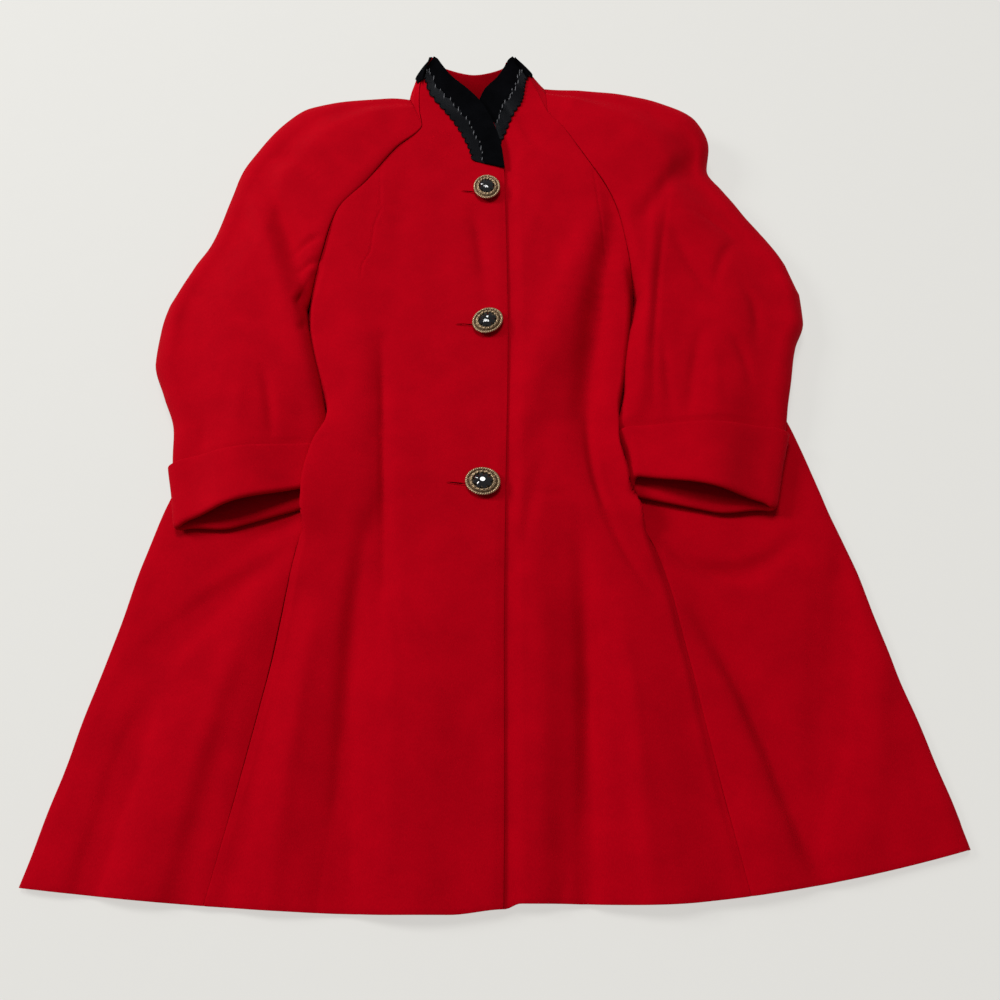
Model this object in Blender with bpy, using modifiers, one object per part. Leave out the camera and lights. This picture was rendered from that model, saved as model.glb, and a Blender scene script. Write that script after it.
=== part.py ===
# Swing coat laid flat on its back: A-line body, raglan sleeves with turned-back cuffs, stand collar
# with a scalloped velvet band, and three jewelled buttons. Tables are in millimetres. X runs across
# the coat, Y runs from the hem towards the neck, Z is up from the floor that the coat lies on.
import math

import bmesh
import bpy
import numpy as np

MM = 0.001
CENTRE = (-1.8, 2.6, 0.0)    # middle of the laid-out coat's box, which becomes the origin

# Cloth and seams
WOOL = 2.4                # wall of the wool cloth
SEAM_GAP = 0.4            # between the cut edges of sewn pieces
MIN_TOP = 7.6             # lowest height of the top layer where two layers lie on each other
REST_GAP = 1.7            # between a sleeve and the body that it lies on
UNDER_TOP = 9.0           # height of the flattened body under a sleeve
CREST_WIDTH = 17.0        # how far inside its foot the flank of a front reaches full height

# Front opening
FRONT_OVERLAP = 45.0      # how far the left front runs on under the right front
PLACKET_STEP = 3.7        # how far the left front drops to lie under the right front
NECK_STEP = 5.8           # the same under the velvet band, where the neck edges cross
NECK_STEP_START = 325.0


# Hem
HEM_STEP = 4.5           # how much shorter each front hangs at the placket
UNDER_LEAD = 5.0         # how much higher the hidden underside's hem lies

# Rows across the body
TILT_SPAN = 600.0        # width over which a row's tilt is given
PAST_MIDDLE = 60.0       # how far each half of a row runs on past the middle
TOP_SAMPLES = 170
FLOOR_SAMPLES = 120
FOLD_SAMPLES = 15        # places along each large fold's curve

# Side folds of the body
SIDE_ROUND = 16.0         # plan width of the upper quarter of the fold
SIDE_UNDER = 6.0          # plan width of the lower quarter
SIDE_MIDDLE = 4.6         # height of the outermost line of the fold

# Sleeve folds
SLEEVE_IN_ROUND = 15.0
CUFF_IN_ROUND = 9.0
SLEEVE_UNDER = 7.0
SLEEVE_SEAM_AT = 22.0     # the underarm seam's distance from the inner fold, under the sleeve
LANDING = 7.0             # how far past the body's side fold a sleeve still has its full height
DRAPE = 24.0              # width over which it then comes down to the floor

# Cuffs
CUFF_WALL = 2.6
CUFF_SHELL_GAP = 0.35
CUFF_INNER_WALL = 1.6     # the part of the cuff that turns into the sleeve's mouth
CUFF_LIFT = 3.4           # room under the sleeve's end for the cuff's lower layer

# Cells across each stretch of a piece
SEAM_SIDE_CELLS = 3       # the back's columns next to its seam
SEAM_SIDE_LENGTH = 24.0
BACK_TOP_CELLS = 4
BACK_FOLD_CELLS = 4
BACK_FLOOR_CELLS = 8
BACK_FLOOR_FROM = SEAM_SIDE_CELLS + BACK_TOP_CELLS + BACK_FOLD_CELLS
FLANK_CELLS = 6
FLANK_LENGTH = 48.0
FRONT_TOP_CELLS = 9
# Under the inner fold, the inner fold, top, outer fold, floor, and on the body
SLEEVE_CELLS = (3, 2, 7, 4, 3, 3)

# Velvet band
VELVET = 1.6
BRAID = 1.1
TRIM_GAP = 1.2
BRAID_SHARE = 0.32
SCALLOPS = 16
SCALLOP_DEPTH = 2.6
TEETH = 10
TOOTH_DEPTH = 0.07        # as a share of the band's width

# Buttons
BUTTON_WIDTH = 32.0
BUTTON_LENGTH = 37.0
BUTTON_SEAT = 0.5


def columns(names, rows):
    return dict(zip(names, np.array(rows, float).T))


# Each side of the body, one row for each section across it: the fold at the side, the side seam or
# above the underarm the raglan seam, the height at that seam and just inside it, the distance
# over which the cloth beyond the seam falls to the flat side, and how far the flank leans outwards.
SIDE_COLUMNS = ("y", "side", "seam", "z_seam", "z_crest", "fall", "lean")
LEFT = columns(SIDE_COLUMNS, [
    (-498, -431, -263, 11, 11, 150, 0),
    (-400, -414, -247, 12, 14, 140, 0),
    (-300, -395, -231, 14, 17, 130, 0),
    (-200, -376, -217, 17, 21, 110, 0),
    (-150, -367, -209, 18, 25, 60, 3),
    (-110, -358, -197, 13, 34, 24, 19),
    (-75, -349, -189, 10, 38, 16, 26),
    (-40, -340, -187, 9.5, 38, 16, 21),
    (-12, -334, -190, 9.5, 37, 16, 6),
    (15, -328, -198, 9.5, 36, 16, 0),
    (80, -316, -217, 9.5, 38, 16, 0),
    (112, -309, -223, 13, 38, 16, 0),
    (138, -304, -224, 16, 39, 16, 0),
    (160, -301, -219, 30, 42, 16, 0),
    (186, -298, -213, 41, 44, 16, 0),
    (218, -293, -207, 46, 47, 16, 0),
    (247, -294, -201, 49, 50, 16, 0),
    (268, -296, -194, 51, 52, 16, 0),
    (306, -300, -163, 56, 56, 16, 0),
    (357, -300, -128, 60, 60, 16, 0),
    (394, -300, -97, 62, 62, 16, 0),
    (420, -300, -101, 63, 63, 16, 0),
    (450, -300, -102, 67, 67, 16, 0),
    (475, -300, -96, 73, 73, 16, 0),
    (496, -300, -83, 82, 82, 16, 0),
])
RIGHT = columns(SIDE_COLUMNS, [
    (-498, 432, 224, 11, 12, 150, 0),
    (-440, 421, 214, 12, 14, 150, 0),
    (-348, 404, 198, 13, 16, 140, 0),
    (-253, 384, 182, 16, 20, 120, 0),
    (-182, 369, 168, 18, 23, 90, 0),
    (-146, 360, 156, 18, 27, 55, 4),
    (-110, 351, 139, 13, 34, 24, 17),
    (-75, 343, 127, 10, 38, 16, 18),
    (-40, 333, 124, 9.5, 37, 16, 13),
    (-12, 325, 130, 9.5, 34, 16, 8),
    (15, 316, 139, 9.5, 34, 16, 0),
    (80, 297, 151, 9.5, 36, 16, 0),
    (112, 283, 155, 13, 38, 16, 0),
    (148, 267, 157, 16, 39, 16, 0),
    (172, 260, 155, 30, 42, 16, 0),
    (200, 256, 152, 42, 44, 16, 0),
    (250, 242, 145, 47, 48, 16, 0),
    (273, 240, 140, 50, 50, 16, 0),
    (304, 260, 127, 55, 55, 16, 0),
    (331, 260, 112, 58, 58, 16, 0),
    (362, 260, 95, 60, 60, 16, 0),
    (392, 260, 78, 61, 61, 16, 0),
    (416, 260, 60, 62, 62, 16, 0),
    (450, 260, 47, 64, 64, 16, 0),
    (475, 260, 33, 71, 71, 16, 0),
    (496, 260, 13, 82, 82, 16, 0),
])

# The right front's edge, which is the placket up to the neck's point and the neck edge above it
MIDDLE = columns(("y", "edge", "z_middle"), [
    (-498, 3, 13),
    (-400, 4, 17),
    (-265, 4, 24),
    (-88, 6, 34),
    (20, 8, 38),
    (110, 9, 42),
    (200, 8, 46),
    (300, 6, 50),
    (336, 5, 51),
    (370, 0, 53),
    (398, -6, 56),
    (420, -17, 60),
    (435, -26, 64),
    (450, -43, 69),
    (468, -63, 75),
    (482, -75, 78),
    (496, -81, 83),
])

# The left front's edge at the neck, right of the overlap
LEFT_NECK = columns(("y", "edge"), [
    (330, -37),
    (400, -37),
    (422, -33),
    (440, -25),
    (458, -10),
    (475, 3),
    (496, 11),
])

# Large folds of the body: start, middle and end of each, its half width and its height
FOLD_COLUMNS = ("x0", "y0", "x1", "y1", "x2", "y2", "width", "height")
FOLDS = {
    "left crease": (-133, 90, -124, -84, -122, -215, 11, -5),
    "left wide valley": (-122, -190, -149, -302, -141, -498, 28, -7),
    "left wide roll": (-62, -160, -78, -310, -76, -498, 34, 5),
    "left chest roll": (-178, 200, -160, 60, -160, -60, 26, 4),
    "placket fold": (-34, 262, -20, 203, -16, 140, 12, -3),
    "right main valley": (141, 275, 96, 10, 142, -150, 17, -11),
    "right second valley": (70, -139, 79, -300, 63, -498, 24, -7),
    "right diagonal ridge": (118, 250, 70, 95, 22, -30, 20, 5),
    "right skirt roll": (118, -170, 142, -320, 148, -498, 30, 6),
    "right outer valley": (176, -172, 240, -290, 292, -450, 18, -5),
    "right side valley": (335, -160, 320, -290, 284, -390, 17, -3),
    "right hem roll": (215, -300, 240, -390, 238, -480, 24, 4),
    "under right cuff": (186, -146, 240, -176, 300, -146, 13, -4),
    "left slope": (-224, -152, -285, -215, -353, -275, 18, -4),
    "left dark valley": (-228, -232, -262, -342, -285, -490, 20, -4),
    "left hem roll": (-300, -330, -318, -400, -328, -490, 22, 4),
    "leftmost valley": (-352, -314, -350, -372, -370, -485, 14, -3),
}

# Sleeves, one row for each line across them from the inner edge to the outer fold: the inner end,
# the outer end, heights just inside the inner fold, midway and at the outer fold's start, the outer
# fold's plan width, how far the lower layer runs in from the outer fold (0 is right across), and
# how far the lower layer leads towards the wrist. Rows before the underarm have the raglan seam at
# their inner end; the others are closed tubes.
SLEEVE_COLUMNS = ("in_x", "in_y", "out_x", "out_y", "z_in", "z_mid", "z_out", "round", "under_end",
                  "lead")
UNDERARM_ROW = 11
CUFF_ROW = 17
MOUTH_ROW = 18
SLEEVES = {
    "right": columns(SLEEVE_COLUMNS, [
        (-97, 394, -119, 453, 62, 62, 58, 20, 0.58, 0),
        (-112, 376, -150, 457, 63, 65, 60, 26, 0.52, 0),
        (-128, 357, -196, 455, 64, 68, 61, 32, 0.45, 0),
        (-146, 328, -245, 446, 63, 68, 60, 38, 0.40, 0),
        (-163, 306, -279, 420, 61, 66, 56, 38, 0.40, 0),
        (-181, 286, -307, 384, 57, 61, 48, 34, 0.42, 0),
        (-194, 268, -325, 351, 54, 55, 41, 28, 0.46, 0),
        (-201, 247, -333, 315, 52, 51, 37, 25, 0.50, 0),
        (-207, 218, -341, 275, 50, 47, 35, 24, 0.55, 0),
        (-213, 186, -352, 238, 49, 45, 34, 24, 0.58, 0),
        (-219, 160, -367, 207, 47, 44, 34, 24, 0.49, 0),
        (-224, 138, -377, 179, 45, 44, 34, 24, 0.00, 0),
        (-222, 112, -387, 148, 44, 44, 34, 24, 0.00, 0),
        (-214, 80, -391, 110, 43, 44, 34, 24, 0.00, 0),
        (-205, 48, -390, 68, 41, 44, 34, 24, 0.00, 0),
        (-198, 15, -374, 26, 38, 43, 34, 24, 0.00, 3),
        (-193, -10, -357, -14, 33, 42, 33, 22, 0.00, 8),
        (-199, -40, -351, -60, 30, 42, 32, 17, 0.00, 13),
        (-202, -86, -338, -126, 30, 44, 33, 17, 0.00, 17),
    ]),
    "left": columns(SLEEVE_COLUMNS, [
        (60, 416, 57, 477, 62, 62, 58, 20, 0.78, 0),
        (69, 404, 87, 477, 62, 64, 60, 26, 0.68, 0),
        (78, 392, 119, 475, 63, 67, 62, 32, 0.55, 0),
        (95, 362, 168, 467, 62, 67, 61, 36, 0.45, 0),
        (112, 331, 218, 452, 60, 66, 58, 36, 0.45, 0),
        (127, 304, 255, 427, 57, 62, 52, 32, 0.48, 0),
        (140, 273, 267, 392, 54, 57, 45, 28, 0.52, 0),
        (145, 250, 262, 354, 53, 54, 40, 26, 0.58, 0),
        (149, 225, 279, 320, 52, 51, 37, 24, 0.62, 0),
        (152, 200, 303, 282, 51, 48, 35, 24, 0.66, 0),
        (155, 172, 324, 244, 49, 46, 34, 24, 0.62, 0),
        (157, 148, 342, 206, 47, 45, 34, 24, 0.00, 0),
        (160, 118, 354, 166, 46, 44, 34, 24, 0.00, 0),
        (156, 88, 353, 128, 44, 44, 34, 24, 0.00, 0),
        (152, 60, 339, 92, 42, 44, 34, 24, 0.00, 0),
        (150, 30, 329, 56, 39, 43, 34, 24, 0.00, 3),
        (144, 5, 320, 22, 34, 43, 33, 22, 0.00, 8),
        (137, -20, 311, -20, 30, 42, 32, 17, 0.00, 13),
        (139, -72, 290, -102, 30, 44, 33, 17, 0.00, 17),
    ]),
}

# Rows of the body below the underarm: height up the coat, and how strongly the row follows the
# hem's curve and the tilt between the two underarms
BODY_ROWS = columns(("y", "hem", "tilt"), [
    (-498, 1.0, 0.0),
    (-462, 0.9, 0.0),
    (-420, 0.75, 0.0),
    (-372, 0.6, 0.0),
    (-324, 0.45, 0.0),
    (-276, 0.3, 0.0),
    (-232, 0.18, 0.0),
    (-192, 0.08, 0.0),
    (-160, 0.0, 0.0),
    (-134, 0.0, 0.0),
    (-110, 0.0, 0.0),
    (-86, 0.0, 0.0),
    (-60, 0.0, 0.0),
    (-32, 0.0, 0.1),
    (4, 0.0, 0.3),
    (44, 0.0, 0.5),
    (82, 0.0, 0.8),
    (114, 0.0, 1.0),
])
UNDERARM_LIFT = 6.0       # how far a sleeve's inner fold starts above the end of the raglan seam
UNDERARM_TILT = 8.0       # rise from one underarm to the other at 300 mm from the middle

# Rows of the fronts above the underarm, by their height at the raglan seam and at the front edge
FRONT_ROWS = {
    "right": columns(("seam_y", "edge_y"), [
        (160, 162), (186, 186), (218, 212), (247, 236), (268, 256), (286, 276),
        (306, 296), (328, 316), (357, 336), (376, 356), (394, 376), (416, 398), (438, 420),
        (458, 441), (476, 462), (491, 485),
    ]),
    "left": columns(("seam_y", "edge_y"), [
        (172, 168), (200, 194), (225, 218), (250, 242), (273, 264), (304, 290),
        (331, 314), (362, 340), (392, 364), (404, 382), (416, 398), (434, 416), (452, 434),
        (468, 452), (480, 470), (491, 486),
    ]),
}

# The top edge of the stand collar behind the neck, from the right front's peak to the left one's
COLLAR_TOP = columns(("share", "x", "y", "z"), [
    (0.00, -83, 494, 82),
    (0.08, -87, 498, 78),
    (0.16, -88, 500, 68),
    (0.24, -82, 502, 60),
    (0.33, -70, 500, 55),
    (0.50, -34, 494, 51),
    (0.67, 0, 499, 55),
    (0.76, 12, 501, 60),
    (0.84, 19, 499, 68),
    (0.92, 19, 498, 78),
    (1.00, 14, 494, 82),
])
COLLAR_ROWS = (0.0, 0.2, 0.42, 0.62, 0.82, 1.0)
COLLAR_COLUMNS = 26
BAND_FROM_ROW = 2

# The velvet bands on the fronts: the neck edge and the scalloped lower edge, peak to lower end
BAND_COLUMNS = ("top_x", "top_y", "low_x", "low_y")
BANDS = {
    "right": columns(BAND_COLUMNS, [
        (-80, 488, -93, 468),
        (-64, 466, -88, 448),
        (-45, 450, -75, 429),
        (-27, 433, -62, 412),
        (-14, 413, -51, 394),
        (-6, 393, -42, 376),
        (1, 366, -35, 359),
        (4, 339, -31, 345),
    ]),
    "left": columns(BAND_COLUMNS, [
        (11, 488, 27, 470),
        (5, 478, 29, 455),
        (-4, 464, 27, 442),
        (-14, 453, 24, 431),
        (-23, 442, 16, 417),
        (-30, 428, 9, 403),
        (-34, 414, 3, 389),
        (-36, 402, -3, 376),
    ]),
}

# Buttons from the neck down: place, and the turn of the oval's long axis from the Y axis
BUTTONS = columns(("x", "y", "turn"), [
    (-16, 300, 0),
    (-14, 109, -45),
    (-18, -88, 80),
])

MATERIALS = {
    "red_wool": ((0.36, 0.001, 0.006), 0.9, 0.0),
    "black_velvet": ((0.006, 0.006, 0.007), 0.95, 0.0),
    "black_braid": ((0.02, 0.02, 0.023), 0.5, 0.0),
    "antique_brass": ((0.35, 0.26, 0.13), 0.4, 1.0),
    "black_glass": ((0.004, 0.004, 0.005), 0.08, 0.0),
}


def ease(value):
    """Smooth step from 0 to 1."""
    value = np.clip(value, 0.0, 1.0)
    return value * value * (3.0 - 2.0 * value)


def through(xs, ys, at):
    """A cubic through the points that keeps their rises and falls."""
    xs = np.asarray(xs, float)
    ys = np.asarray(ys, float)
    at = np.clip(np.asarray(at, float), xs[0], xs[-1])
    step = np.diff(xs)
    rise = np.diff(ys) / step
    before = rise[:-1]
    after = rise[1:]
    same = before * after > 0.0
    total = np.where(same, before + after, 1.0)
    slope = np.concatenate([[rise[0]], np.where(same, 2.0 * before * after / total, 0.0), [rise[-1]]])
    i = np.clip(np.searchsorted(xs, at, side="right") - 1, 0, len(step) - 1)
    t = (at - xs[i]) / step[i]
    start = ys[i] * (2 * t ** 3 - 3 * t ** 2 + 1) + slope[i] * step[i] * (t ** 3 - 2 * t ** 2 + t)
    end = ys[i + 1] * (3 * t ** 2 - 2 * t ** 3) + slope[i + 1] * step[i] * (t ** 3 - t ** 2)
    return start + end


def read(table, name, at, by="y"):
    return through(table[by], table[name], at)


def row_value(table, name, row):
    return through(np.arange(len(table[name])), table[name], row)


def hem_bow(x):
    """How far the hem rises towards the two side corners."""
    left = 22.0 * np.clip((-x - 100.0) / 330.0, 0.0, 1.0) ** 1.6
    right = 49.0 * np.clip((x - 60.0) / 365.0, 0.0, 1.0) ** 1.9
    step = ease((x + 45.0) / 50.0) + ease((x - 4.0) / 14.0)
    return left + right + HEM_STEP * step * (1.0 - 0.5 * ease((x - 40.0) / 140.0))


def fold_height(x, y):
    """Sum of the folds: each is a soft rounded valley or roll along a curve through 3 points."""
    total = np.zeros_like(x)
    for row in FOLDS.values():
        fold = dict(zip(FOLD_COLUMNS, row))
        s = np.linspace(0.0, 1.0, FOLD_SAMPLES)
        bend_x = 2.0 * fold["x1"] - 0.5 * (fold["x0"] + fold["x2"])
        bend_y = 2.0 * fold["y1"] - 0.5 * (fold["y0"] + fold["y2"])
        path_x = (1 - s) ** 2 * fold["x0"] + 2 * s * (1 - s) * bend_x + s ** 2 * fold["x2"]
        path_y = (1 - s) ** 2 * fold["y0"] + 2 * s * (1 - s) * bend_y + s ** 2 * fold["y2"]
        away = np.hypot(x[..., None] - path_x, y[..., None] - path_y)
        strength = np.sin(math.pi * (0.1 + 0.8 * s)) ** 0.7
        if fold["y2"] < -470:
            strength = np.sin(math.pi * (0.1 + 0.4 * s)) ** 0.7
        total += fold["height"] * (strength * np.exp(-(away / fold["width"]) ** 2)).max(axis=-1)
    return total


def half_top(x, y, table, outward, edge, z_middle):
    """Height of the top layer on one side of the front edge."""
    seam = read(table, "seam", y)
    z_seam = read(table, "z_seam", y)
    z_crest = read(table, "z_crest", y)
    inside = (seam - x) * outward
    across = np.abs(edge - seam)
    z = z_crest + (z_middle - z_crest) * ease(inside / np.maximum(across, 1.0))
    z = z - (z_crest - z_seam) * (1.0 - ease(inside / CREST_WIDTH))
    beyond = UNDER_TOP + (z_seam - UNDER_TOP) * (1.0 - ease(-inside / read(table, "fall", y)))
    free = ease(inside / CREST_WIDTH + 0.35) + ease((-150.0 - y) / 60.0)
    z = np.where(inside >= 0.0, z, beyond)
    return z + fold_height(x, y) * np.clip(free, 0.0, 1.0)


def body_top(x, y):
    """Height of the coat's top layer, its outer face."""
    x = np.asarray(x, float)
    y = np.asarray(y, float) + np.zeros_like(x)
    edge = read(MIDDLE, "edge", y)
    z_middle = read(MIDDLE, "z_middle", y)
    left = half_top(x, y, LEFT, -1.0, edge, z_middle)
    right = half_top(x, y, RIGHT, 1.0, edge, z_middle)
    return np.maximum(np.where(x < edge, left, right), MIN_TOP)


def placket_drop(x, y):
    """How far the left front lies below the right front near their overlap."""
    edge = read(MIDDLE, "edge", y)
    neck = ease((y - NECK_STEP_START) / 40.0)
    depth = PLACKET_STEP + (NECK_STEP - PLACKET_STEP) * neck
    depth = depth * (1.0 - ease((y - 436.0) / 26.0))
    return depth * (1.0 - ease((x - edge - 3.0) / (16.0 + 12.0 * neck)))


def lengths(points):
    return np.concatenate([[0.0], np.cumsum(np.linalg.norm(np.diff(points, axis=0), axis=1))])


def normals_along(points, across, turn):
    """Directions out of the cloth, in the upright plane that holds the row of points."""
    tangent = np.gradient(points, axis=0)
    along = tangent[:, 0] * across[0] + tangent[:, 1] * across[1]
    size = np.maximum(np.hypot(along, tangent[:, 2]), 1e-9)
    flat = -turn * tangent[:, 2] / size
    return np.stack([flat * across[0], flat * across[1], turn * along / size], axis=1)


def cut(points, directions, weights, start, end, count):
    """Part of a row between two places along it, spread over a number of points by weight."""
    run = lengths(points)
    dense = np.linspace(start, end, 400)
    weight = np.interp(dense, run, weights)
    load = np.concatenate([[0.0], np.cumsum(0.5 * (weight[1:] + weight[:-1]) * abs(dense[1] - dense[0]))])
    places = np.interp(np.linspace(0.0, load[-1], count), load, dense)
    out = np.stack([np.interp(places, run, points[:, i]) for i in range(3)], axis=1)
    facing = np.stack([np.interp(places, run, directions[:, i]) for i in range(3)], axis=1)
    return out, facing / np.linalg.norm(facing, axis=1, keepdims=True)


def fold_arc(edge, sign, z_top, y_of):
    """A side fold from the top layer to the floor: two quarter ellipses."""
    turn = np.linspace(0.0, math.pi / 2.0, 14)
    x_upper = edge - sign * SIDE_ROUND * (1.0 - np.sin(turn))
    z_upper = SIDE_MIDDLE + (z_top - SIDE_MIDDLE) * np.cos(turn)
    x_lower = edge - sign * SIDE_UNDER * (1.0 - np.cos(turn))
    z_lower = SIDE_MIDDLE * (1.0 - np.sin(turn))
    x = np.concatenate([x_upper, x_lower[1:]])
    z = np.concatenate([z_upper, z_lower[1:]])
    return np.stack([x, y_of(x), z], axis=1)


def lean_flank(points, table, outward):
    """Leans the flank of a front outwards over the cuff that is tucked under it."""
    x, y, z = points.T
    seam = read(table, "seam", y)
    inside = (seam - x) * outward
    height = ease((z - 12.0) / 22.0)
    reach = read(table, "lean", y) * height * (1.0 - ease((inside - CREST_WIDTH) / 55.0))
    points[:, 0] = x + outward * np.where(inside > 0.0, reach, 0.0)
    return points


def body_ring(y_left, y_right, hem=0.0):
    """One row right round the body, from past the middle of the top, left, under and back."""
    def y_of(x):
        return 0.5 * (y_left + y_right) + (y_right - y_left) * x / TILT_SPAN + hem * hem_bow(x)

    left = float(read(LEFT, "side", y_of(-300.0)))
    right = float(read(RIGHT, "side", y_of(300.0)))
    x = np.linspace(PAST_MIDDLE, left + SIDE_ROUND, TOP_SAMPLES)
    first = lean_flank(np.stack([x, y_of(x), body_top(x, y_of(x))], axis=1), LEFT, -1.0)
    left_x = x
    x = np.linspace(right - SIDE_ROUND, -PAST_MIDDLE, TOP_SAMPLES)
    last = lean_flank(np.stack([x, y_of(x), body_top(x, y_of(x))], axis=1), RIGHT, 1.0)
    right_x = x
    arc_left = fold_arc(left, -1.0, first[-1, 2], y_of)
    arc_right = fold_arc(right, 1.0, last[0, 2], y_of)[::-1]
    x = np.linspace(left + SIDE_UNDER, right - SIDE_UNDER, FLOOR_SAMPLES)
    floor = np.stack([x, y_of(x) + UNDER_LEAD * hem ** 3, np.zeros_like(x)], axis=1)
    points = np.concatenate([first, arc_left[1:], floor[1:], arc_right[1:], last[1:]])
    across = np.array([TILT_SPAN, y_right - y_left]) / math.hypot(TILT_SPAN, y_right - y_left)
    return {
        "points": points,
        "directions": normals_along(points, across, -1.0),
        "run": lengths(points),
        "marks": np.cumsum([len(first), len(arc_left) - 1, len(floor) - 1, len(arc_right) - 1]) - 1,
        "plain_x": {"left": left_x, "right": right_x},
        "y_of": y_of,
    }


def place_on_top(ring, x, side):
    """Distance along the ring at which its top layer passes x, on the left or right stretch."""
    xs = ring["plain_x"][side]
    first = 0 if side == "left" else len(ring["run"]) - len(xs)
    return float(np.interp(-x, -xs, ring["run"][first:first + len(xs)]))


def ring_seams(ring):
    """Where the two side seams cross the ring."""
    places = []
    for side, table in (("left", LEFT), ("right", RIGHT)):
        x = -200.0 if side == "left" else 160.0
        for _ in range(4):
            x = float(read(table, "seam", ring["y_of"](x)))
        places.append(place_on_top(ring, x, side))
    return places


def lower_rings():
    rings = []
    for y, hem, tilt in zip(BODY_ROWS["y"], BODY_ROWS["hem"], BODY_ROWS["tilt"]):
        rise = UNDERARM_TILT * tilt
        rings.append(body_ring(y - rise, y + rise, hem))
    rings.append(underarm_ring())
    return rings


def sleeve_point(side, row, share):
    """A place across a sleeve, 0 at its inner edge and 1 at its outer fold."""
    table = SLEEVES[side]
    inner = np.array([row_value(table, "in_x", row), row_value(table, "in_y", row)])
    if row <= UNDERARM_ROW:
        inner[0] = read(LEFT if side == "right" else RIGHT, "seam", inner[1])
    outer = np.array([row_value(table, "out_x", row), row_value(table, "out_y", row)])
    return inner + (outer - inner) * share


def back_rows(rings):
    """The back: round both side folds below the underarms, and flat on the floor above them."""
    rows = []
    fold = BACK_FOLD_CELLS
    for ring in rings:
        run = ring["run"]
        left, right = ring_seams(ring)
        marks = [left + SEAM_GAP / 2, left + SEAM_SIDE_LENGTH] + [run[i] for i in ring["marks"]]
        marks += [right - SEAM_SIDE_LENGTH, right - SEAM_GAP / 2]
        counts = (SEAM_SIDE_CELLS, BACK_TOP_CELLS, fold, BACK_FLOOR_CELLS, fold, BACK_TOP_CELLS,
                  SEAM_SIDE_CELLS)
        parts = [
            cut(ring["points"], ring["directions"], np.ones_like(run), start, end, count + 1)
            for start, end, count in zip(marks[:-1], marks[1:], counts)
        ]
        points = np.concatenate([parts[0][0]] + [part[0][1:] for part in parts[1:]])
        facing = np.concatenate([parts[0][1]] + [part[1][1:] for part in parts[1:]])
        rows.append((points, facing))
    first = BACK_FLOOR_FROM
    for row in range(UNDERARM_ROW - 1, -1, -1):
        left = sleeve_point("right", row, SLEEVES["right"]["under_end"][row])
        right = sleeve_point("left", row, SLEEVES["left"]["under_end"][row])
        share = np.linspace(0.0, 1.0, BACK_FLOOR_CELLS + 1)[:, None]
        flat = left + (right - left) * share
        flat[0, 0] += SEAM_GAP / 2
        flat[-1, 0] -= SEAM_GAP / 2
        points = rows[-1][0].copy()
        points[first:first + BACK_FLOOR_CELLS + 1] = np.column_stack([flat, np.zeros(len(flat))])
        rows.append((points, np.tile([0.0, 0.0, -1.0], (len(points), 1))))
    return rows


def back_cells(rows):
    """Which cells of the back's grid hold cloth: above the underarms only the floor's columns."""
    cells = np.ones((len(rows) - 1, len(rows[0][0]) - 1), bool)
    first = BACK_FLOOR_FROM
    upper = len(BODY_ROWS["y"])
    cells[upper:, :first] = False
    cells[upper:, first + BACK_FLOOR_CELLS:] = False
    return cells


def underarm_ring():
    """The body's row that passes through both underarms."""
    left = sleeve_point("right", UNDERARM_ROW, 0.0)
    right = sleeve_point("left", UNDERARM_ROW, 0.0)
    slope = (right[1] - left[1]) / (right[0] - left[0])
    return body_ring(left[1] + slope * (-300.0 - left[0]), right[1] + slope * (300.0 - right[0]))


def front_edge_x(side, y):
    if side == "right":
        return float(read(MIDDLE, "edge", y))
    if y < LEFT_NECK["y"][0]:
        return float(read(MIDDLE, "edge", y)) - FRONT_OVERLAP
    return float(read(LEFT_NECK, "edge", y))


def front_row(points, facing, start, end):
    """A front's row between two places: close columns over its flank, wider ones on top."""
    flank = min(FLANK_LENGTH, 0.4 * abs(end - start))
    turn = start + math.copysign(flank, end - start)
    even = np.ones(len(points))
    first = cut(points, facing, even, start, turn, FLANK_CELLS + 1)
    second = cut(points, facing, even, turn, end, FRONT_TOP_CELLS + 1)
    return tuple(np.concatenate([a, b[1:]]) for a, b in zip(first, second))


def front_rows(side, rings):
    """A front: from its side seam or raglan seam to its front edge."""
    rows = []
    table = LEFT if side == "right" else RIGHT
    outward = -1.0 if side == "right" else 1.0
    for ring in rings:
        places = ring_seams(ring)
        y = float(ring["y_of"](0.0))
        if side == "right":
            start = places[0] - SEAM_GAP / 2
            end = place_on_top(ring, front_edge_x(side, y), "left")
        else:
            start = places[1] + SEAM_GAP / 2
            end = place_on_top(ring, front_edge_x(side, y), "right")
        points, facing = front_row(ring["points"], ring["directions"], start, end)
        if side == "left":
            points[:, 2] -= placket_drop(points[:, 0], points[:, 1])
        rows.append((points, facing))
    upper = FRONT_ROWS[side]
    for seam_y, edge_y in zip(upper["seam_y"], upper["edge_y"]):
        seam_x = float(read(table, "seam", seam_y)) - outward * SEAM_GAP / 2
        edge_x = front_edge_x(side, edge_y)
        share = np.linspace(0.0, 1.0, 120)
        x = seam_x + (edge_x - seam_x) * share
        y = seam_y + (edge_y - seam_y) * share
        points = np.stack([x, y, body_top(x, y)], axis=1)
        facing = np.tile([0.0, 0.0, 1.0], (120, 1))
        points, facing = front_row(points, facing, 0.0, lengths(points)[-1])
        if side == "left":
            points[:, 2] -= placket_drop(points[:, 0], points[:, 1])
        rows.append((points, facing))
    return rows


def rest_height(side, x, y, row):
    """Height of what a sleeve lies on: the flattened body, then down past its side fold."""
    table = LEFT if side == "right" else RIGHT
    outward = -1.0 if side == "right" else 1.0
    past = (x - read(table, "side", y)) * outward
    down = (UNDER_TOP + REST_GAP) * (1.0 - ease((past - LANDING) / DRAPE))
    height = np.where(past > -SIDE_ROUND, down, body_top(x, y) + REST_GAP)
    return height * np.clip((row - UNDERARM_ROW + 2.0) / 2.0, 0.0, 1.0)


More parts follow.
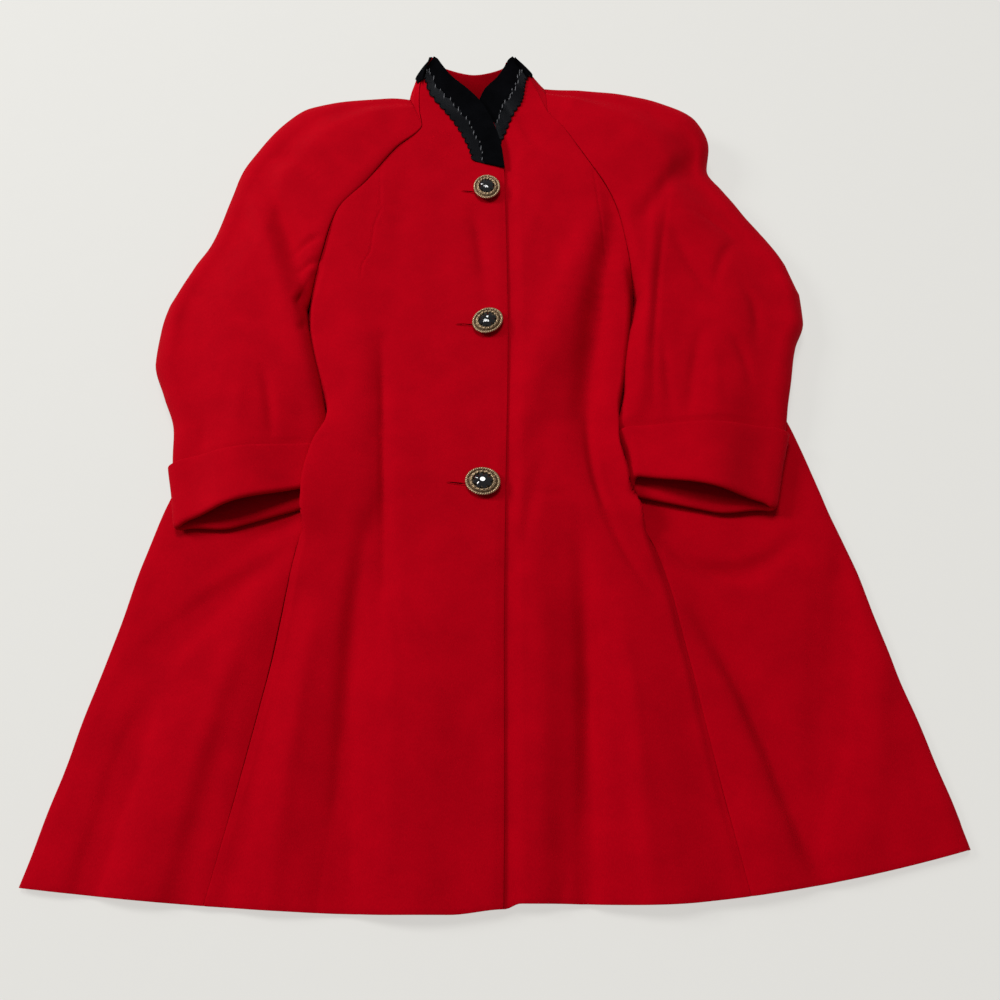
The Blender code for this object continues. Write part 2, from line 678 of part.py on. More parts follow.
def landing_place(side, inner, along, span, stop):
    """Distance across a sleeve at which its lower layer has come up onto the body."""
    outward = -1.0 if side == "right" else 1.0
    distance = 0.5 * span
    for _ in range(3):
        y = inner[1] + along[1] * distance
        x = float(read(LEFT if side == "right" else RIGHT, "side", y)) + outward * LANDING
        distance = min(max((x - inner[0]) / along[0], 0.0), span)
    room = 0.2 * (span - stop)
    return min(max(distance, stop + room), span - room)


def sleeve_row(side, row):
    """One row round a sleeve. Above the underarm it starts at the raglan seam on top, below it at
    the underarm seam beneath; it runs out over the top and back under, to the same seam."""
    table = SLEEVES[side]
    inner = sleeve_point(side, row, 0.0)
    outer = sleeve_point(side, row, 1.0)
    span = float(np.linalg.norm(outer - inner))
    along = (outer - inner) / span
    z_in, z_mid, z_out, out_round, under_end, lead = [
        float(row_value(table, name, row))
        for name in ("z_in", "z_mid", "z_out", "round", "under_end", "lead")
    ]
    tube = row >= UNDERARM_ROW
    under = SLEEVE_UNDER + 4.0 * min(max((9.0 - row) / 4.0, 0.0), 1.0)
    cuff = float(ease((row - CUFF_ROW + 0.9) / 0.7))

    def at(distance, z, under):
        x = inner[0] + along[0] * distance
        y = inner[1] + along[1] * distance - lead * under
        return np.stack([x, y, z], axis=1)

    def low_z(distance):
        x = inner[0] + along[0] * distance
        y = inner[1] + along[1] * distance
        return rest_height(side, x, y, row) + CUFF_LIFT * cuff

    def top_z(distance):
        middle = span * 0.5
        rising = z_in + (z_mid - z_in) * ease(distance / middle)
        falling = z_mid + (z_out - z_mid) * ease((distance - middle) / (span - out_round - middle))
        return np.where(distance < middle, rising, falling)

    turn = np.linspace(0.0, math.pi / 2.0, 14)
    in_round = SLEEVE_IN_ROUND + (CUFF_IN_ROUND - SLEEVE_IN_ROUND) * cuff
    base = float(low_z(np.array([under]))[0])
    edge_z = base + 0.45 * (z_in - base)
    if row <= UNDERARM_ROW:
        edge_z = float(body_top(inner[:1], inner[1:])[0])
    if row == UNDERARM_ROW:
        edge_z += UNDERARM_LIFT
    flat = np.linspace(SLEEVE_SEAM_AT, under, 8)
    lower = under * (1.0 - np.sin(turn))
    under_in = np.concatenate([
        at(flat, low_z(flat), np.ones(8)),
        at(lower, base + (edge_z - base) * (1.0 - np.cos(turn)), 1.0 - 0.5 * np.sin(turn))[1:],
    ])
    distance = in_round * (1.0 - np.cos(turn))
    rise = edge_z + (top_z(distance) - edge_z) * np.sin(turn)
    leaning = 0.5 - 0.5 * np.sin(turn) if tube else np.zeros(14)
    upper_in = at(distance, rise, leaning)
    distance = np.linspace(in_round, span - out_round, 60)
    crown = at(distance, top_z(distance), np.zeros(60))
    base = float(low_z(np.array([span - under]))[0])
    middle_z = base + 0.42 * (z_out - base)
    distance = span - out_round * (1.0 - np.sin(turn))
    upper = at(distance, middle_z + (z_out - middle_z) * np.cos(turn), 0.5 * (1.0 - np.cos(turn)))
    distance = span - under * (1.0 - np.cos(turn))
    lower = at(distance, base + (middle_z - base) * (1.0 - np.sin(turn)), 0.5 + 0.5 * np.sin(turn))
    stop = SLEEVE_SEAM_AT + SEAM_GAP if tube else under_end * span + SEAM_GAP / 2
    landing = landing_place(side, inner, along, span - under, stop)
    distance = np.linspace(span - under, landing, 40)
    floor = at(distance, low_z(distance), np.ones(40))
    distance = np.linspace(landing, stop, 40)
    resting = at(distance, low_z(distance), np.ones(40))
    stretches = [under_in, upper_in, crown, np.concatenate([upper, lower[1:]]), floor, resting]
    points = np.concatenate([stretches[0]] + [part[1:] for part in stretches[1:]])
    facing = normals_along(points, along, 1.0)
    ends = np.cumsum([len(part) - 1 for part in stretches])
    run = lengths(points)
    marks = [0.0] + [run[i] for i in ends]
    parts = [
        cut(points, facing, np.ones_like(run), start, end, count + 1)
        for start, end, count in zip(marks[:-1], marks[1:], SLEEVE_CELLS)
    ]
    points = np.concatenate([parts[0][0]] + [part[0][1:] for part in parts[1:]])
    facing = np.concatenate([parts[0][1]] + [part[1][1:] for part in parts[1:]])
    if row < UNDERARM_ROW:
        first = SLEEVE_CELLS[0]
        points[first, :2] += along * SEAM_GAP / 2
        for column, amount in ((first, 1.0), (first + 1, 0.5)):
            facing[column] = facing[column] * (1.0 - amount) + np.array([0.0, 0.0, amount])
        facing /= np.linalg.norm(facing, axis=1, keepdims=True)
    return points, facing


def sleeve_rows(side):
    places = list(range(0, CUFF_ROW + 1)) + [CUFF_ROW + 0.5, MOUTH_ROW]
    return [sleeve_row(side, row) for row in places]


def sleeve_cells(rows):
    """Which cells of a sleeve's grid hold cloth: the turn to the underarm seam starts below it."""
    cells = np.ones((len(rows) - 1, sum(SLEEVE_CELLS)), bool)
    cells[:UNDERARM_ROW, :SLEEVE_CELLS[0]] = False
    return cells


def tube_ring(side, row, offset):
    """Places round a sleeve near its mouth, moved out from its outer face."""
    points, facing = sleeve_row(side, min(row, MOUTH_ROW))
    if row > MOUTH_ROW:
        ahead = sleeve_row(side, MOUTH_ROW - 0.5)[0]
        points = points + (points - ahead) * (row - MOUTH_ROW) / 0.5
    middle = facing[0] + facing[-1]
    middle /= np.linalg.norm(middle)
    facing[0] = middle
    facing[-1] = middle
    return points + facing * offset


def cuff_rings(side):
    """A turned-back cuff: outside the sleeve up from the mouth, and a short way inside it."""
    shell = CUFF_SHELL_GAP
    outside = shell + CUFF_WALL
    inside = -(WOOL + shell)
    deep = inside - CUFF_INNER_WALL
    nose = 0.5 * (outside + deep)
    profile = [
        (CUFF_ROW, outside),
        (CUFF_ROW + 0.5, outside),
        (MOUTH_ROW, outside),
        (MOUTH_ROW + 0.065, 0.6 * outside + 0.4 * nose),
        (MOUTH_ROW + 0.09, nose),
        (MOUTH_ROW + 0.065, 0.6 * deep + 0.4 * nose),
        (MOUTH_ROW, deep),
        (CUFF_ROW + 0.5, deep),
        (CUFF_ROW + 0.5, inside),
        (MOUTH_ROW, inside),
        (MOUTH_ROW + 0.03, 0.5 * (inside + shell)),
        (MOUTH_ROW, shell),
        (CUFF_ROW + 0.5, shell),
        (CUFF_ROW, shell),
    ]
    rings = np.array([tube_ring(side, row, offset) for row, offset in profile])
    returning = [after[0] < row[0] for row, after in zip(profile, profile[1:] + profile[:1])]
    return rings, returning


def collar_grid(back, sleeves):
    """The back of the stand collar, from the sleeves' and back's neck edges to its top edge."""
    first = SLEEVE_CELLS[0]
    left_points, left_facing = [part[first:] for part in sleeves["right"][0]]
    right_points, right_facing = [part[first:] for part in sleeves["left"][0]]
    first = BACK_FLOOR_FROM
    back_points, back_facing = [part[first:first + BACK_FLOOR_CELLS + 1] for part in back[-1]]
    shift = np.array([
        [SEAM_GAP * 0.9, SEAM_GAP * 0.45, 0.0],
        [0.0, SEAM_GAP, 0.0],
        [-SEAM_GAP, SEAM_GAP * 0.1, 0.0],
    ])
    base = np.concatenate([
        left_points + shift[0],
        back_points[1:-1] + shift[1],
        right_points[::-1] + shift[2],
    ])
    facing = np.concatenate([left_facing, back_facing[1:-1], right_facing[::-1]])
    weights = np.where(base[:, 2] < 1.0, 0.45, 1.0)
    total = lengths(base)[-1]
    base, base_facing = cut(base, facing, weights, 0.0, total, COLLAR_COLUMNS)
    ends = ((0, "right", LEFT, -1.0, 2.5), (-1, "left", RIGHT, 1.0, 4.0))
    for end, side, table, outward, clear in ends:
        y = base[end, 1] + clear
        x = float(read(table, "seam", y)) + outward * SEAM_GAP / 2
        base[end] = x, y, float(body_top(np.array([x]), np.array([y]))[0])
    share = lengths(base) / lengths(base)[-1]
    top = np.stack([read(COLLAR_TOP, axis, share, by="share") for axis in ("x", "y", "z")], axis=1)
    rows = [base]
    for number, v in enumerate(COLLAR_ROWS[1:], 1):
        points = base + (top - base) * v
        for end, side, table, outward, _ in ends:
            y = FRONT_ROWS[side]["seam_y"][number - len(COLLAR_ROWS)]
            x = float(read(table, "seam", y)) + outward * SEAM_GAP / 2
            edge = np.array([x, y, float(body_top(np.array([x]), np.array([y]))[0])])
            near = 1.0 - ease(((share if end == 0 else 1.0 - share) - 0.05) / 0.3)
            points = points + (edge - points[end]) * near[:, None]
        rows.append(points)
    grid = np.array(rows)
    d_row = np.gradient(grid, axis=0)
    d_col = np.gradient(grid, axis=1)
    facing = np.cross(d_col, d_row)
    facing /= np.maximum(np.linalg.norm(facing, axis=2, keepdims=True), 1e-9)
    centre = np.array([-35.0, 460.0, 42.0])
    flip = np.sign(np.sum(facing * (grid - centre), axis=2, keepdims=True))
    facing = facing * np.where(flip == 0, 1.0, flip)
    facing[1] += 0.5 * base_facing
    facing[0] = base_facing
    upright = np.array([0.0, 0.0, 1.0])
    for column, amount in ((0, 1.0), (1, 0.5), (-1, 1.0), (-2, 0.5)):
        facing[1:, column] = facing[1:, column] * (1.0 - amount) + upright * amount
    facing /= np.linalg.norm(facing, axis=2, keepdims=True)
    return grid, facing


def band_surface(side, x, y):
    """Height of a front's outer face under its velvet band."""
    z = body_top(x, y)
    if side == "left":
        z = z - placket_drop(x, y)
    return z


def band_grid(side, first, last, lift, columns_across):
    """A strip along the neck edge. The two functions give its shares across the band."""
    table = BANDS[side]
    count = SCALLOPS * 3 + 1
    along = np.linspace(0.0, 1.0, count)
    place = along * (len(table["top_x"]) - 1)
    top = np.stack([row_value(table, "top_x", place), row_value(table, "top_y", place)], axis=1)
    low = np.stack([row_value(table, "low_x", place), row_value(table, "low_y", place)], axis=1)
    width = np.linalg.norm(top - low, axis=1)
    grid = []
    for t in np.linspace(0.0, 1.0, columns_across):
        share = first(along, width) + (last(along, width) - first(along, width)) * t
        x = low[:, 0] + (top[:, 0] - low[:, 0]) * share
        y = low[:, 1] + (top[:, 1] - low[:, 1]) * share
        grid.append(np.stack([x, y, band_surface(side, x, y) + lift], axis=1))
    return np.array(grid)


def scalloped_edge(along, width):
    return -SCALLOP_DEPTH / width * np.abs(np.sin(math.pi * SCALLOPS * along))


def toothed_edge(along, width):
    wave = np.abs((along * TEETH) % 1.0 - 0.5) * 2.0
    return BRAID_SHARE + TOOTH_DEPTH * (wave - 0.5)


def new_material(name):
    color, roughness, metallic = MATERIALS[name]
    material = bpy.data.materials.new(name)
    material.use_nodes = True
    shader = material.node_tree.nodes["Principled BSDF"]
    shader.inputs["Base Color"].default_value = (*color, 1.0)
    shader.inputs["Roughness"].default_value = roughness
    shader.inputs["Metallic"].default_value = metallic
    material.diffuse_color = (*color, 1.0)
    return material


def add_object(name, vertices, faces, material, collection):
    mesh = bpy.data.meshes.new(name)
    placed = (np.asarray(vertices) - CENTRE) * MM
    mesh.from_pydata([tuple(v) for v in placed], [], faces)
    bm = bmesh.new()
    bm.from_mesh(mesh)
    bmesh.ops.recalc_face_normals(bm, faces=bm.faces)
    bm.to_mesh(mesh)
    bm.free()
    mesh.shade_smooth()
    mesh.set_sharp_from_angle(angle=math.radians(40.0))
    mesh.materials.append(material)
    obj = bpy.data.objects.new(name, mesh)
    collection.objects.link(obj)
    return obj


def wall(grid, facing, thickness, cells=None):
    """A closed wall from a grid of points on its outer face, over the cells that hold cloth."""
    rows, cols = grid.shape[:2]
    if cells is None:
        cells = np.ones((rows - 1, cols - 1), bool)
    vertices = np.concatenate([grid.reshape(-1, 3), (grid - facing * thickness).reshape(-1, 3)])
    half = rows * cols
    faces = []
    edges = set()
    for r, c in zip(*np.nonzero(cells)):
        a, b = r * cols + c, r * cols + c + 1
        corners = (a, b, b + cols, a + cols)
        for one, two, three in ((a, b, b + cols), (a, b + cols, a + cols)):
            faces.append((one, two, three))
            faces.append((half + three, half + two, half + one))
        edges.update(zip(corners, corners[1:] + corners[:1]))
    for a, b in sorted(edges):
        if (b, a) not in edges:
            faces.append((b, a, a + half, b + half))
    used = sorted({i for face in faces for i in face})
    renumbered = {old: new for new, old in enumerate(used)}
    return vertices[used], [tuple(renumbered[i] for i in face) for face in faces]


def closed_rings(grid, returning):
    """A ring-shaped solid: the grid closes on itself both ways. From the returning row on, its rows
    run back towards the first one, and its faces are split along the same lines as before."""
    rows, cols = grid.shape[:2]
    faces = []
    for r in range(rows):
        for c in range(cols):
            r2 = (r + 1) % rows
            c2 = (c + 1) % cols
            a, b, d, e = r * cols + c, r * cols + c2, r2 * cols + c2, r2 * cols + c
            if returning[r]:
                faces.extend([(b, d, e), (b, e, a)])
            else:
                faces.extend([(a, b, d), (a, d, e)])
    return grid.reshape(-1, 3), faces


def stack(rows):
    return np.array([row[0] for row in rows]), np.array([row[1] for row in rows])


def turned(name, profile, steps, material, collection):
    """A turned piece: a profile from the axis out and back to it, with a Screw modifier."""
    mesh = bpy.data.meshes.new(name)
    vertices = [(radius * MM, 0.0, z * MM) for radius, z in profile]
    mesh.from_pydata(vertices, [(i, i + 1) for i in range(len(vertices) - 1)], [])
    mesh.materials.append(material)
    obj = bpy.data.objects.new(name, mesh)
    collection.objects.link(obj)
    screw = obj.modifiers.new("turn", "SCREW")
    screw.steps = steps
    screw.render_steps = steps
    screw.use_merge_vertices = True
    screw.merge_threshold = 0.00001
    screw.use_smooth_shade = True
    return obj


def add_buttons(materials, collection):
    rim_radius = BUTTON_WIDTH / 2.0
    for number, (x, y, turn) in enumerate(zip(BUTTONS["x"], BUTTONS["y"], BUTTONS["turn"]), 1):
        spread = np.linspace(-rim_radius, rim_radius, 9)
        around_x, around_y = np.meshgrid(x + spread, y + spread)
        seat = float(body_top(around_x.ravel(), around_y.ravel()).max()) + BUTTON_SEAT
        rim = turned(
            "button_%d_rim" % number,
            [(0.0, 2.4), (7.6, 2.4), (8.2, 5.0), (9.4, 5.2), (12.4, 3.6), (13.4, 3.9), (14.8, 4.3),
             (rim_radius, 3.2), (rim_radius, 1.6), (13.6, 0.0), (0.0, 0.0)],
            20, materials["antique_brass"], collection)
        stone = turned(
            "button_%d_stone" % number,
            [(0.0, 7.4), (3.4, 7.1), (6.2, 5.6), (7.3, 3.6), (7.2, 2.75), (0.0, 2.75)],
            14, materials["black_glass"], collection)
        for obj in (rim, stone):
            obj.location = [(at - middle) * MM for at, middle in zip((x, y, seat), CENTRE)]
            obj.rotation_euler = (0.0, 0.0, math.radians(turn))
            obj.scale = (1.0, BUTTON_LENGTH / BUTTON_WIDTH, 1.0)


def main():
    for obj in list(bpy.data.objects):
        bpy.data.objects.remove(obj, do_unlink=True)
    coat = bpy.data.collections.new("swing_coat")
    bpy.context.scene.collection.children.link(coat)
    materials = {name: new_material(name) for name in MATERIALS}
    wool = materials["red_wool"]

    rings = lower_rings()
    back = back_rows(rings)
    add_object("back", *wall(*stack(back), WOOL, back_cells(back)), wool, coat)
    for side in ("right", "left"):
        rows = front_rows(side, rings)
        add_object("front_" + side, *wall(*stack(rows), WOOL), wool, coat)

    sleeves = {side: sleeve_rows(side) for side in ("right", "left")}
    for side, rows in sleeves.items():
        add_object("sleeve_" + side, *wall(*stack(rows), WOOL, sleeve_cells(rows)), wool, coat)
        add_object("cuff_" + side, *closed_rings(*cuff_rings(side)), wool, coat)

    collar, facing = collar_grid(back, sleeves)
    add_object("collar_back", *wall(collar, facing, WOOL), wool, coat)
    outer = collar + facing * (TRIM_GAP + VELVET)
    band = slice(BAND_FROM_ROW, None)
    inner = slice(1, -1)
    add_object("velvet_back", *wall(outer[band, inner], facing[band, inner], VELVET),
               materials["black_velvet"], coat)

    upright = np.array([0.0, 0.0, 1.0])
    gap = 0.012
    for side in ("right", "left"):
        velvet = band_grid(side, lambda a, w: toothed_edge(a, w) + gap, lambda a, w: 1.0 + 0 * a,
                           TRIM_GAP + VELVET, 4)
        add_object("velvet_" + side, *wall(velvet, np.tile(upright, velvet.shape[:2] + (1,)), VELVET),
                   materials["black_velvet"], coat)
        braid = band_grid(side, scalloped_edge, toothed_edge, TRIM_GAP + BRAID, 3)
        add_object("braid_" + side, *wall(braid, np.tile(upright, braid.shape[:2] + (1,)), BRAID),
                   materials["black_braid"], coat)
    add_buttons(materials, coat)


main()
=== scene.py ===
import math
import bmesh
import bpy
import numpy as np
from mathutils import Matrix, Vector


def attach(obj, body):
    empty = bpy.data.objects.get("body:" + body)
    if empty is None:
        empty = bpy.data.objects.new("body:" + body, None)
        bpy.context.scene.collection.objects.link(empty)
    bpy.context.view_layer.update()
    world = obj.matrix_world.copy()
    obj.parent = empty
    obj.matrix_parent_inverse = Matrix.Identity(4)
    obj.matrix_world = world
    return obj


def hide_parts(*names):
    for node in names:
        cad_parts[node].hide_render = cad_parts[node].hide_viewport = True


# A red wool swing coat, laid flat on its back and seen from the hem. All tables are in
# millimetres, with X across the coat, Y up towards the neck and Z up off the floor.

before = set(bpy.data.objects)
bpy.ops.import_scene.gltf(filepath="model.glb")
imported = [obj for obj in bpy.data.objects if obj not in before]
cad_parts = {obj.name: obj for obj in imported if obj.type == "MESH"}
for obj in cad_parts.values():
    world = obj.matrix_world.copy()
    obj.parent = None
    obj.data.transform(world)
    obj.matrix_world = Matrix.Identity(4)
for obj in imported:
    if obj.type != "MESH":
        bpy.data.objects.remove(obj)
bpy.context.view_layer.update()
print("frame loaded")

scene = bpy.context.scene
partMiddle = np.array([-1.8, 2.6, 0.0])     # the tables' point that is the part's origin

# Cloth and seams
woolWall = 2.4           # wall of the wool cloth
seamGap = 0.4            # between the cut edges of sewn pieces
minTop = 7.6             # lowest height of the top layer where two layers lie on each other
restGap = 1.7            # between a sleeve and the body that it lies on
underTop = 9.0           # height of the flattened body under a sleeve
crestWidth = 10.0        # how far inside its foot the flank of a front reaches full height

# Front opening
frontOverlap = 45.0      # how far the left front runs on under the right front
placketStep = 3.7        # how far the left front drops to lie under the right front
neckStep = 5.8           # the same under the velvet band, where the neck edges cross
neckStepStart = 325.0
hemStep = 4.5            # how much shorter each front hangs at the placket
placketLook = {"neckOver": 40.0, "end": 436.0, "endOver": 26.0, "flat": 3.0, "over": 16.0,
               "neckMore": 12.0}

# The hem's rise towards its two corners: the way there, how far, from where, over what width, power
hemCorners = ((-1.0, 22.0, 100.0, 330.0, 1.6), (1.0, 49.0, 60.0, 365.0, 1.9))

# Side folds of the body
sideRound = 16.0         # plan width of the upper quarter of the fold
sideUnder = 6.0          # plan width of the lower quarter
sideMiddle = 4.6         # height of the outermost line of the fold

# Sleeve folds
sleeveInRound = 15.0
cuffInRound = 9.0
sleeveUnder = 7.0
sleeveSeamAt = 22.0      # the underarm seam's distance from the inner fold, under the sleeve
landingReach = 7.0       # how far past the body's side fold a sleeve still has its full height
drapeWidth = 24.0        # width over which it then comes down to the floor

# Cuffs
cuffWall = 2.6
cuffShellGap = 0.35
cuffInnerWall = 1.6      # the part of the cuff that turns into the sleeve's mouth
cuffFlare = 1.8          # how far a cuff's free edge stands off the sleeve
cuffLift = 3.4           # room under the sleeve's end for the cuff's lower layer
cuffTop = 0.03           # rounding of the cuff's top edge, in rows
cuffNose = 0.085         # how far the cuff's turn stands past the mouth, in rows

# Lengths beside a side seam over which the cells are even: on the back and on a front
seamSideLength = 24.0
flankLength = 48.0

# Velvet band
velvetWall = 1.6
braidWall = 1.1
braidShare = 0.32        # where the velvet's toothed edge lies across the band
scallopCount = 16
scallopDepth = 3.4
toothCount = 10
toothDepth = 0.07        # as a share of the band's width

# Buttons
buttonWidth = 32.0
buttonLength = 37.0
buttonSeat = 0.5


def columns(names, rows):
    return dict(zip(names, np.array(rows, float).T))


# Each side of the body, one row for each section across it: the fold at the side, the side seam or
# above the underarm the raglan seam, the height at that seam and just inside it, the distance
# over which the cloth beyond the seam falls to the flat side, and how far the flank leans outwards.
sideColumns = ("y", "side", "seam", "zSeam", "zCrest", "fall", "lean")
leftSide = columns(sideColumns, [
    (-498, -431, -263, 11, 11, 150, 0),
    (-400, -414, -247, 12, 14, 140, 0),
    (-300, -395, -231, 14, 17, 130, 0),
    (-200, -376, -217, 17, 21, 110, 0),
    (-150, -367, -209, 18, 25, 60, 3),
    (-110, -358, -197, 13, 34, 24, 19),
    (-75, -349, -189, 10, 38, 16, 26),
    (-40, -340, -187, 9.5, 38, 16, 21),
    (-12, -334, -190, 9.5, 37, 16, 6),
    (15, -328, -198, 9.5, 36, 16, 0),
    (80, -316, -217, 9.5, 38, 16, 0),
    (112, -309, -223, 13, 38, 16, 0),
    (138, -304, -224, 16, 39, 16, 0),
    (160, -301, -219, 30, 42, 16, 0),
    (186, -298, -213, 41, 44, 16, 0),
    (218, -293, -207, 46, 47, 16, 0),
    (247, -294, -201, 49, 50, 16, 0),
    (268, -296, -194, 51, 52, 16, 0),
    (306, -300, -163, 56, 56, 16, 0),
    (357, -300, -128, 60, 60, 16, 0),
    (394, -300, -97, 62, 62, 16, 0),
    (420, -300, -101, 63, 63, 16, 0),
    (450, -300, -102, 67, 67, 16, 0),
    (475, -300, -96, 73, 73, 16, 0),
    (496, -300, -83, 82, 82, 16, 0),
])
rightSide = columns(sideColumns, [
    (-498, 432, 224, 11, 12, 150, 0),
    (-440, 421, 214, 12, 14, 150, 0),
    (-348, 404, 198, 13, 16, 140, 0),
    (-253, 384, 182, 16, 20, 120, 0),
    (-182, 369, 168, 18, 23, 90, 0),
    (-146, 360, 156, 18, 27, 55, 4),
    (-110, 351, 139, 13, 34, 24, 17),
    (-75, 343, 127, 10, 38, 16, 18),
    (-40, 333, 124, 9.5, 37, 16, 13),
    (-12, 325, 130, 9.5, 34, 16, 8),
    (15, 316, 139, 9.5, 34, 16, 0),
    (80, 297, 151, 9.5, 36, 16, 0),
    (112, 283, 155, 13, 38, 16, 0),
    (148, 267, 157, 16, 39, 16, 0),
    (172, 260, 155, 30, 42, 16, 0),
    (200, 256, 152, 42, 44, 16, 0),
    (250, 242, 145, 47, 48, 16, 0),
    (273, 240, 140, 50, 50, 16, 0),
    (304, 260, 127, 55, 55, 16, 0),
    (331, 260, 112, 58, 58, 16, 0),
    (362, 260, 95, 60, 60, 16, 0),
    (392, 260, 78, 61, 61, 16, 0),
    (416, 260, 60, 62, 62, 16, 0),
    (450, 260, 47, 64, 64, 16, 0),
    (475, 260, 33, 71, 71, 16, 0),
    (496, 260, 13, 82, 82, 16, 0),
])

# By the wearer's side, which is the other one in the picture: the table, and the way out along X
halves = {"right": (leftSide, -1.0), "left": (rightSide, 1.0)}

# The right front's edge, which is the placket up to the neck's point and the neck edge above it
middleLine = columns(("y", "edge", "zMiddle"), [
    (-498, 3, 13),
    (-400, 4, 17),
    (-265, 4, 24),
    (-88, 6, 34),
    (20, 8, 38),
    (110, 9, 42),
    (200, 8, 46),
    (300, 6, 50),
    (336, 5, 51),
    (370, 0, 53),
    (398, -6, 56),
    (420, -17, 60),
    (435, -26, 64),
    (450, -43, 69),
    (468, -63, 75),
    (482, -75, 78),
    (496, -81, 83),
])

# The left front's edge at the neck, right of the overlap
leftNeck = columns(("y", "edge"), [
    (330, -37),
    (400, -37),
    (422, -33),
    (440, -25),
    (458, -10),
    (475, 3),
    (496, 11),
])

# Large folds of the body: start, middle and end of each, its half width and its height
bodyFolds = {
    "left crease": (-133, 90, -124, -84, -122, -215, 11, -5),
    "left wide valley": (-122, -190, -149, -302, -141, -498, 28, -7),
    "left wide roll": (-62, -160, -78, -310, -76, -498, 34, 5),
    "left chest roll": (-178, 200, -160, 60, -160, -60, 26, 4),
    "placket fold": (-34, 262, -20, 203, -16, 140, 12, -3),
    "right main valley": (141, 275, 95, 10, 116, -90, 17, -10),
    "right second valley": (70, -139, 79, -300, 63, -498, 24, -7),
    "right diagonal ridge": (118, 250, 70, 95, 22, -30, 20, 5),
    "right skirt roll": (118, -170, 142, -320, 148, -498, 30, 6),
    "right outer valley": (176, -172, 240, -290, 292, -450, 18, -5),
    "right side valley": (335, -160, 320, -290, 284, -390, 17, -3),
    "right hem roll": (215, -300, 240, -390, 238, -480, 24, 4),
    "under right cuff": (186, -146, 240, -176, 300, -146, 13, -4),
    "left slope": (-224, -152, -285, -215, -353, -275, 18, -4),
    "left dark valley": (-228, -232, -262, -342, -285, -490, 20, -4),
    "left hem roll": (-300, -330, -318, -400, -328, -490, 22, 4),
    "leftmost valley": (-352, -314, -350, -372, -370, -485, 14, -3),
}

foldsFromHem = -470.0    # a fold that ends below this runs out at the hem
foldsFree = {"inside": 0.35, "below": -150.0, "over": 60.0}    # where folds reach past the seams
leanLook = {"from": 12.0, "rise": 22.0, "width": 55.0}         # the part of a flank that leans out

# Sleeves, one row for each line across them from the inner edge to the outer fold: the inner end,
# the outer end, heights just inside the inner fold, midway and at the outer fold's start, the outer
# fold's plan width, how far the lower layer runs in from the outer fold (0 is right across), and
# how far the lower layer leads towards the wrist. Rows before the underarm have the raglan seam at
# their inner end; the others are closed tubes.
sleeveColumns = ("inX", "inY", "outX", "outY", "zIn", "zMid", "zOut", "round", "underEnd", "lead")
underarmRow = 11
cuffRow = 17
mouthRow = 18
sleeveLines = {
    "right": columns(sleeveColumns, [
        (-97, 394, -119, 453, 62, 62, 58, 20, 0.58, 0),
        (-112, 376, -150, 457, 63, 65, 60, 26, 0.52, 0),
        (-128, 357, -196, 455, 64, 68, 61, 32, 0.45, 0),
        (-146, 328, -245, 446, 63, 68, 60, 38, 0.40, 0),
        (-163, 306, -279, 420, 61, 66, 56, 38, 0.40, 0),
        (-181, 286, -307, 384, 57, 61, 48, 34, 0.42, 0),
        (-194, 268, -325, 351, 54, 55, 41, 28, 0.46, 0),
        (-201, 247, -333, 315, 52, 51, 37, 25, 0.50, 0),
        (-207, 218, -341, 275, 50, 47, 35, 24, 0.55, 0),
        (-213, 186, -352, 238, 49, 45, 34, 24, 0.58, 0),
        (-219, 160, -367, 207, 47, 44, 34, 24, 0.49, 0),
        (-224, 138, -377, 179, 45, 44, 34, 24, 0.00, 0),
        (-222, 112, -387, 148, 44, 44, 34, 24, 0.00, 0),
        (-214, 80, -391, 110, 43, 44, 34, 24, 0.00, 0),
        (-205, 48, -390, 68, 41, 44, 34, 24, 0.00, 0),
        (-198, 15, -374, 26, 38, 43, 34, 24, 0.00, 3),
        (-193, -10, -357, -14, 33, 42, 33, 22, 0.00, 8),
        (-199, -40, -351, -60, 30, 42, 32, 17, 0.00, 13),
        (-202, -86, -338, -126, 30, 44, 33, 17, 0.00, 17),
    ]),
    "left": columns(sleeveColumns, [
        (60, 416, 57, 477, 62, 62, 58, 20, 0.78, 0),
        (69, 404, 87, 477, 62, 64, 60, 26, 0.68, 0),
        (78, 392, 119, 475, 63, 67, 62, 32, 0.55, 0),
        (95, 362, 168, 467, 62, 67, 61, 36, 0.45, 0),
        (112, 331, 218, 452, 60, 66, 58, 36, 0.45, 0),
        (127, 304, 255, 427, 57, 62, 52, 32, 0.48, 0),
        (140, 273, 267, 392, 54, 57, 45, 28, 0.52, 0),
        (145, 250, 262, 354, 53, 54, 40, 26, 0.58, 0),
        (149, 225, 279, 320, 52, 51, 37, 24, 0.62, 0),
        (152, 200, 303, 282, 51, 48, 35, 24, 0.66, 0),
        (155, 172, 324, 244, 49, 46, 34, 24, 0.62, 0),
        (157, 148, 342, 206, 47, 45, 34, 24, 0.00, 0),
        (160, 118, 354, 166, 46, 44, 34, 24, 0.00, 0),
        (156, 88, 353, 128, 44, 44, 34, 24, 0.00, 0),
        (152, 60, 339, 92, 42, 44, 34, 24, 0.00, 0),
        (150, 30, 329, 56, 39, 43, 34, 24, 0.00, 3),
        (144, 5, 320, 22, 34, 43, 33, 22, 0.00, 8),
        (137, -20, 311, -20, 30, 42, 32, 17, 0.00, 13),
        (139, -72, 290, -102, 30, 44, 33, 17, 0.00, 17),
    ]),
}

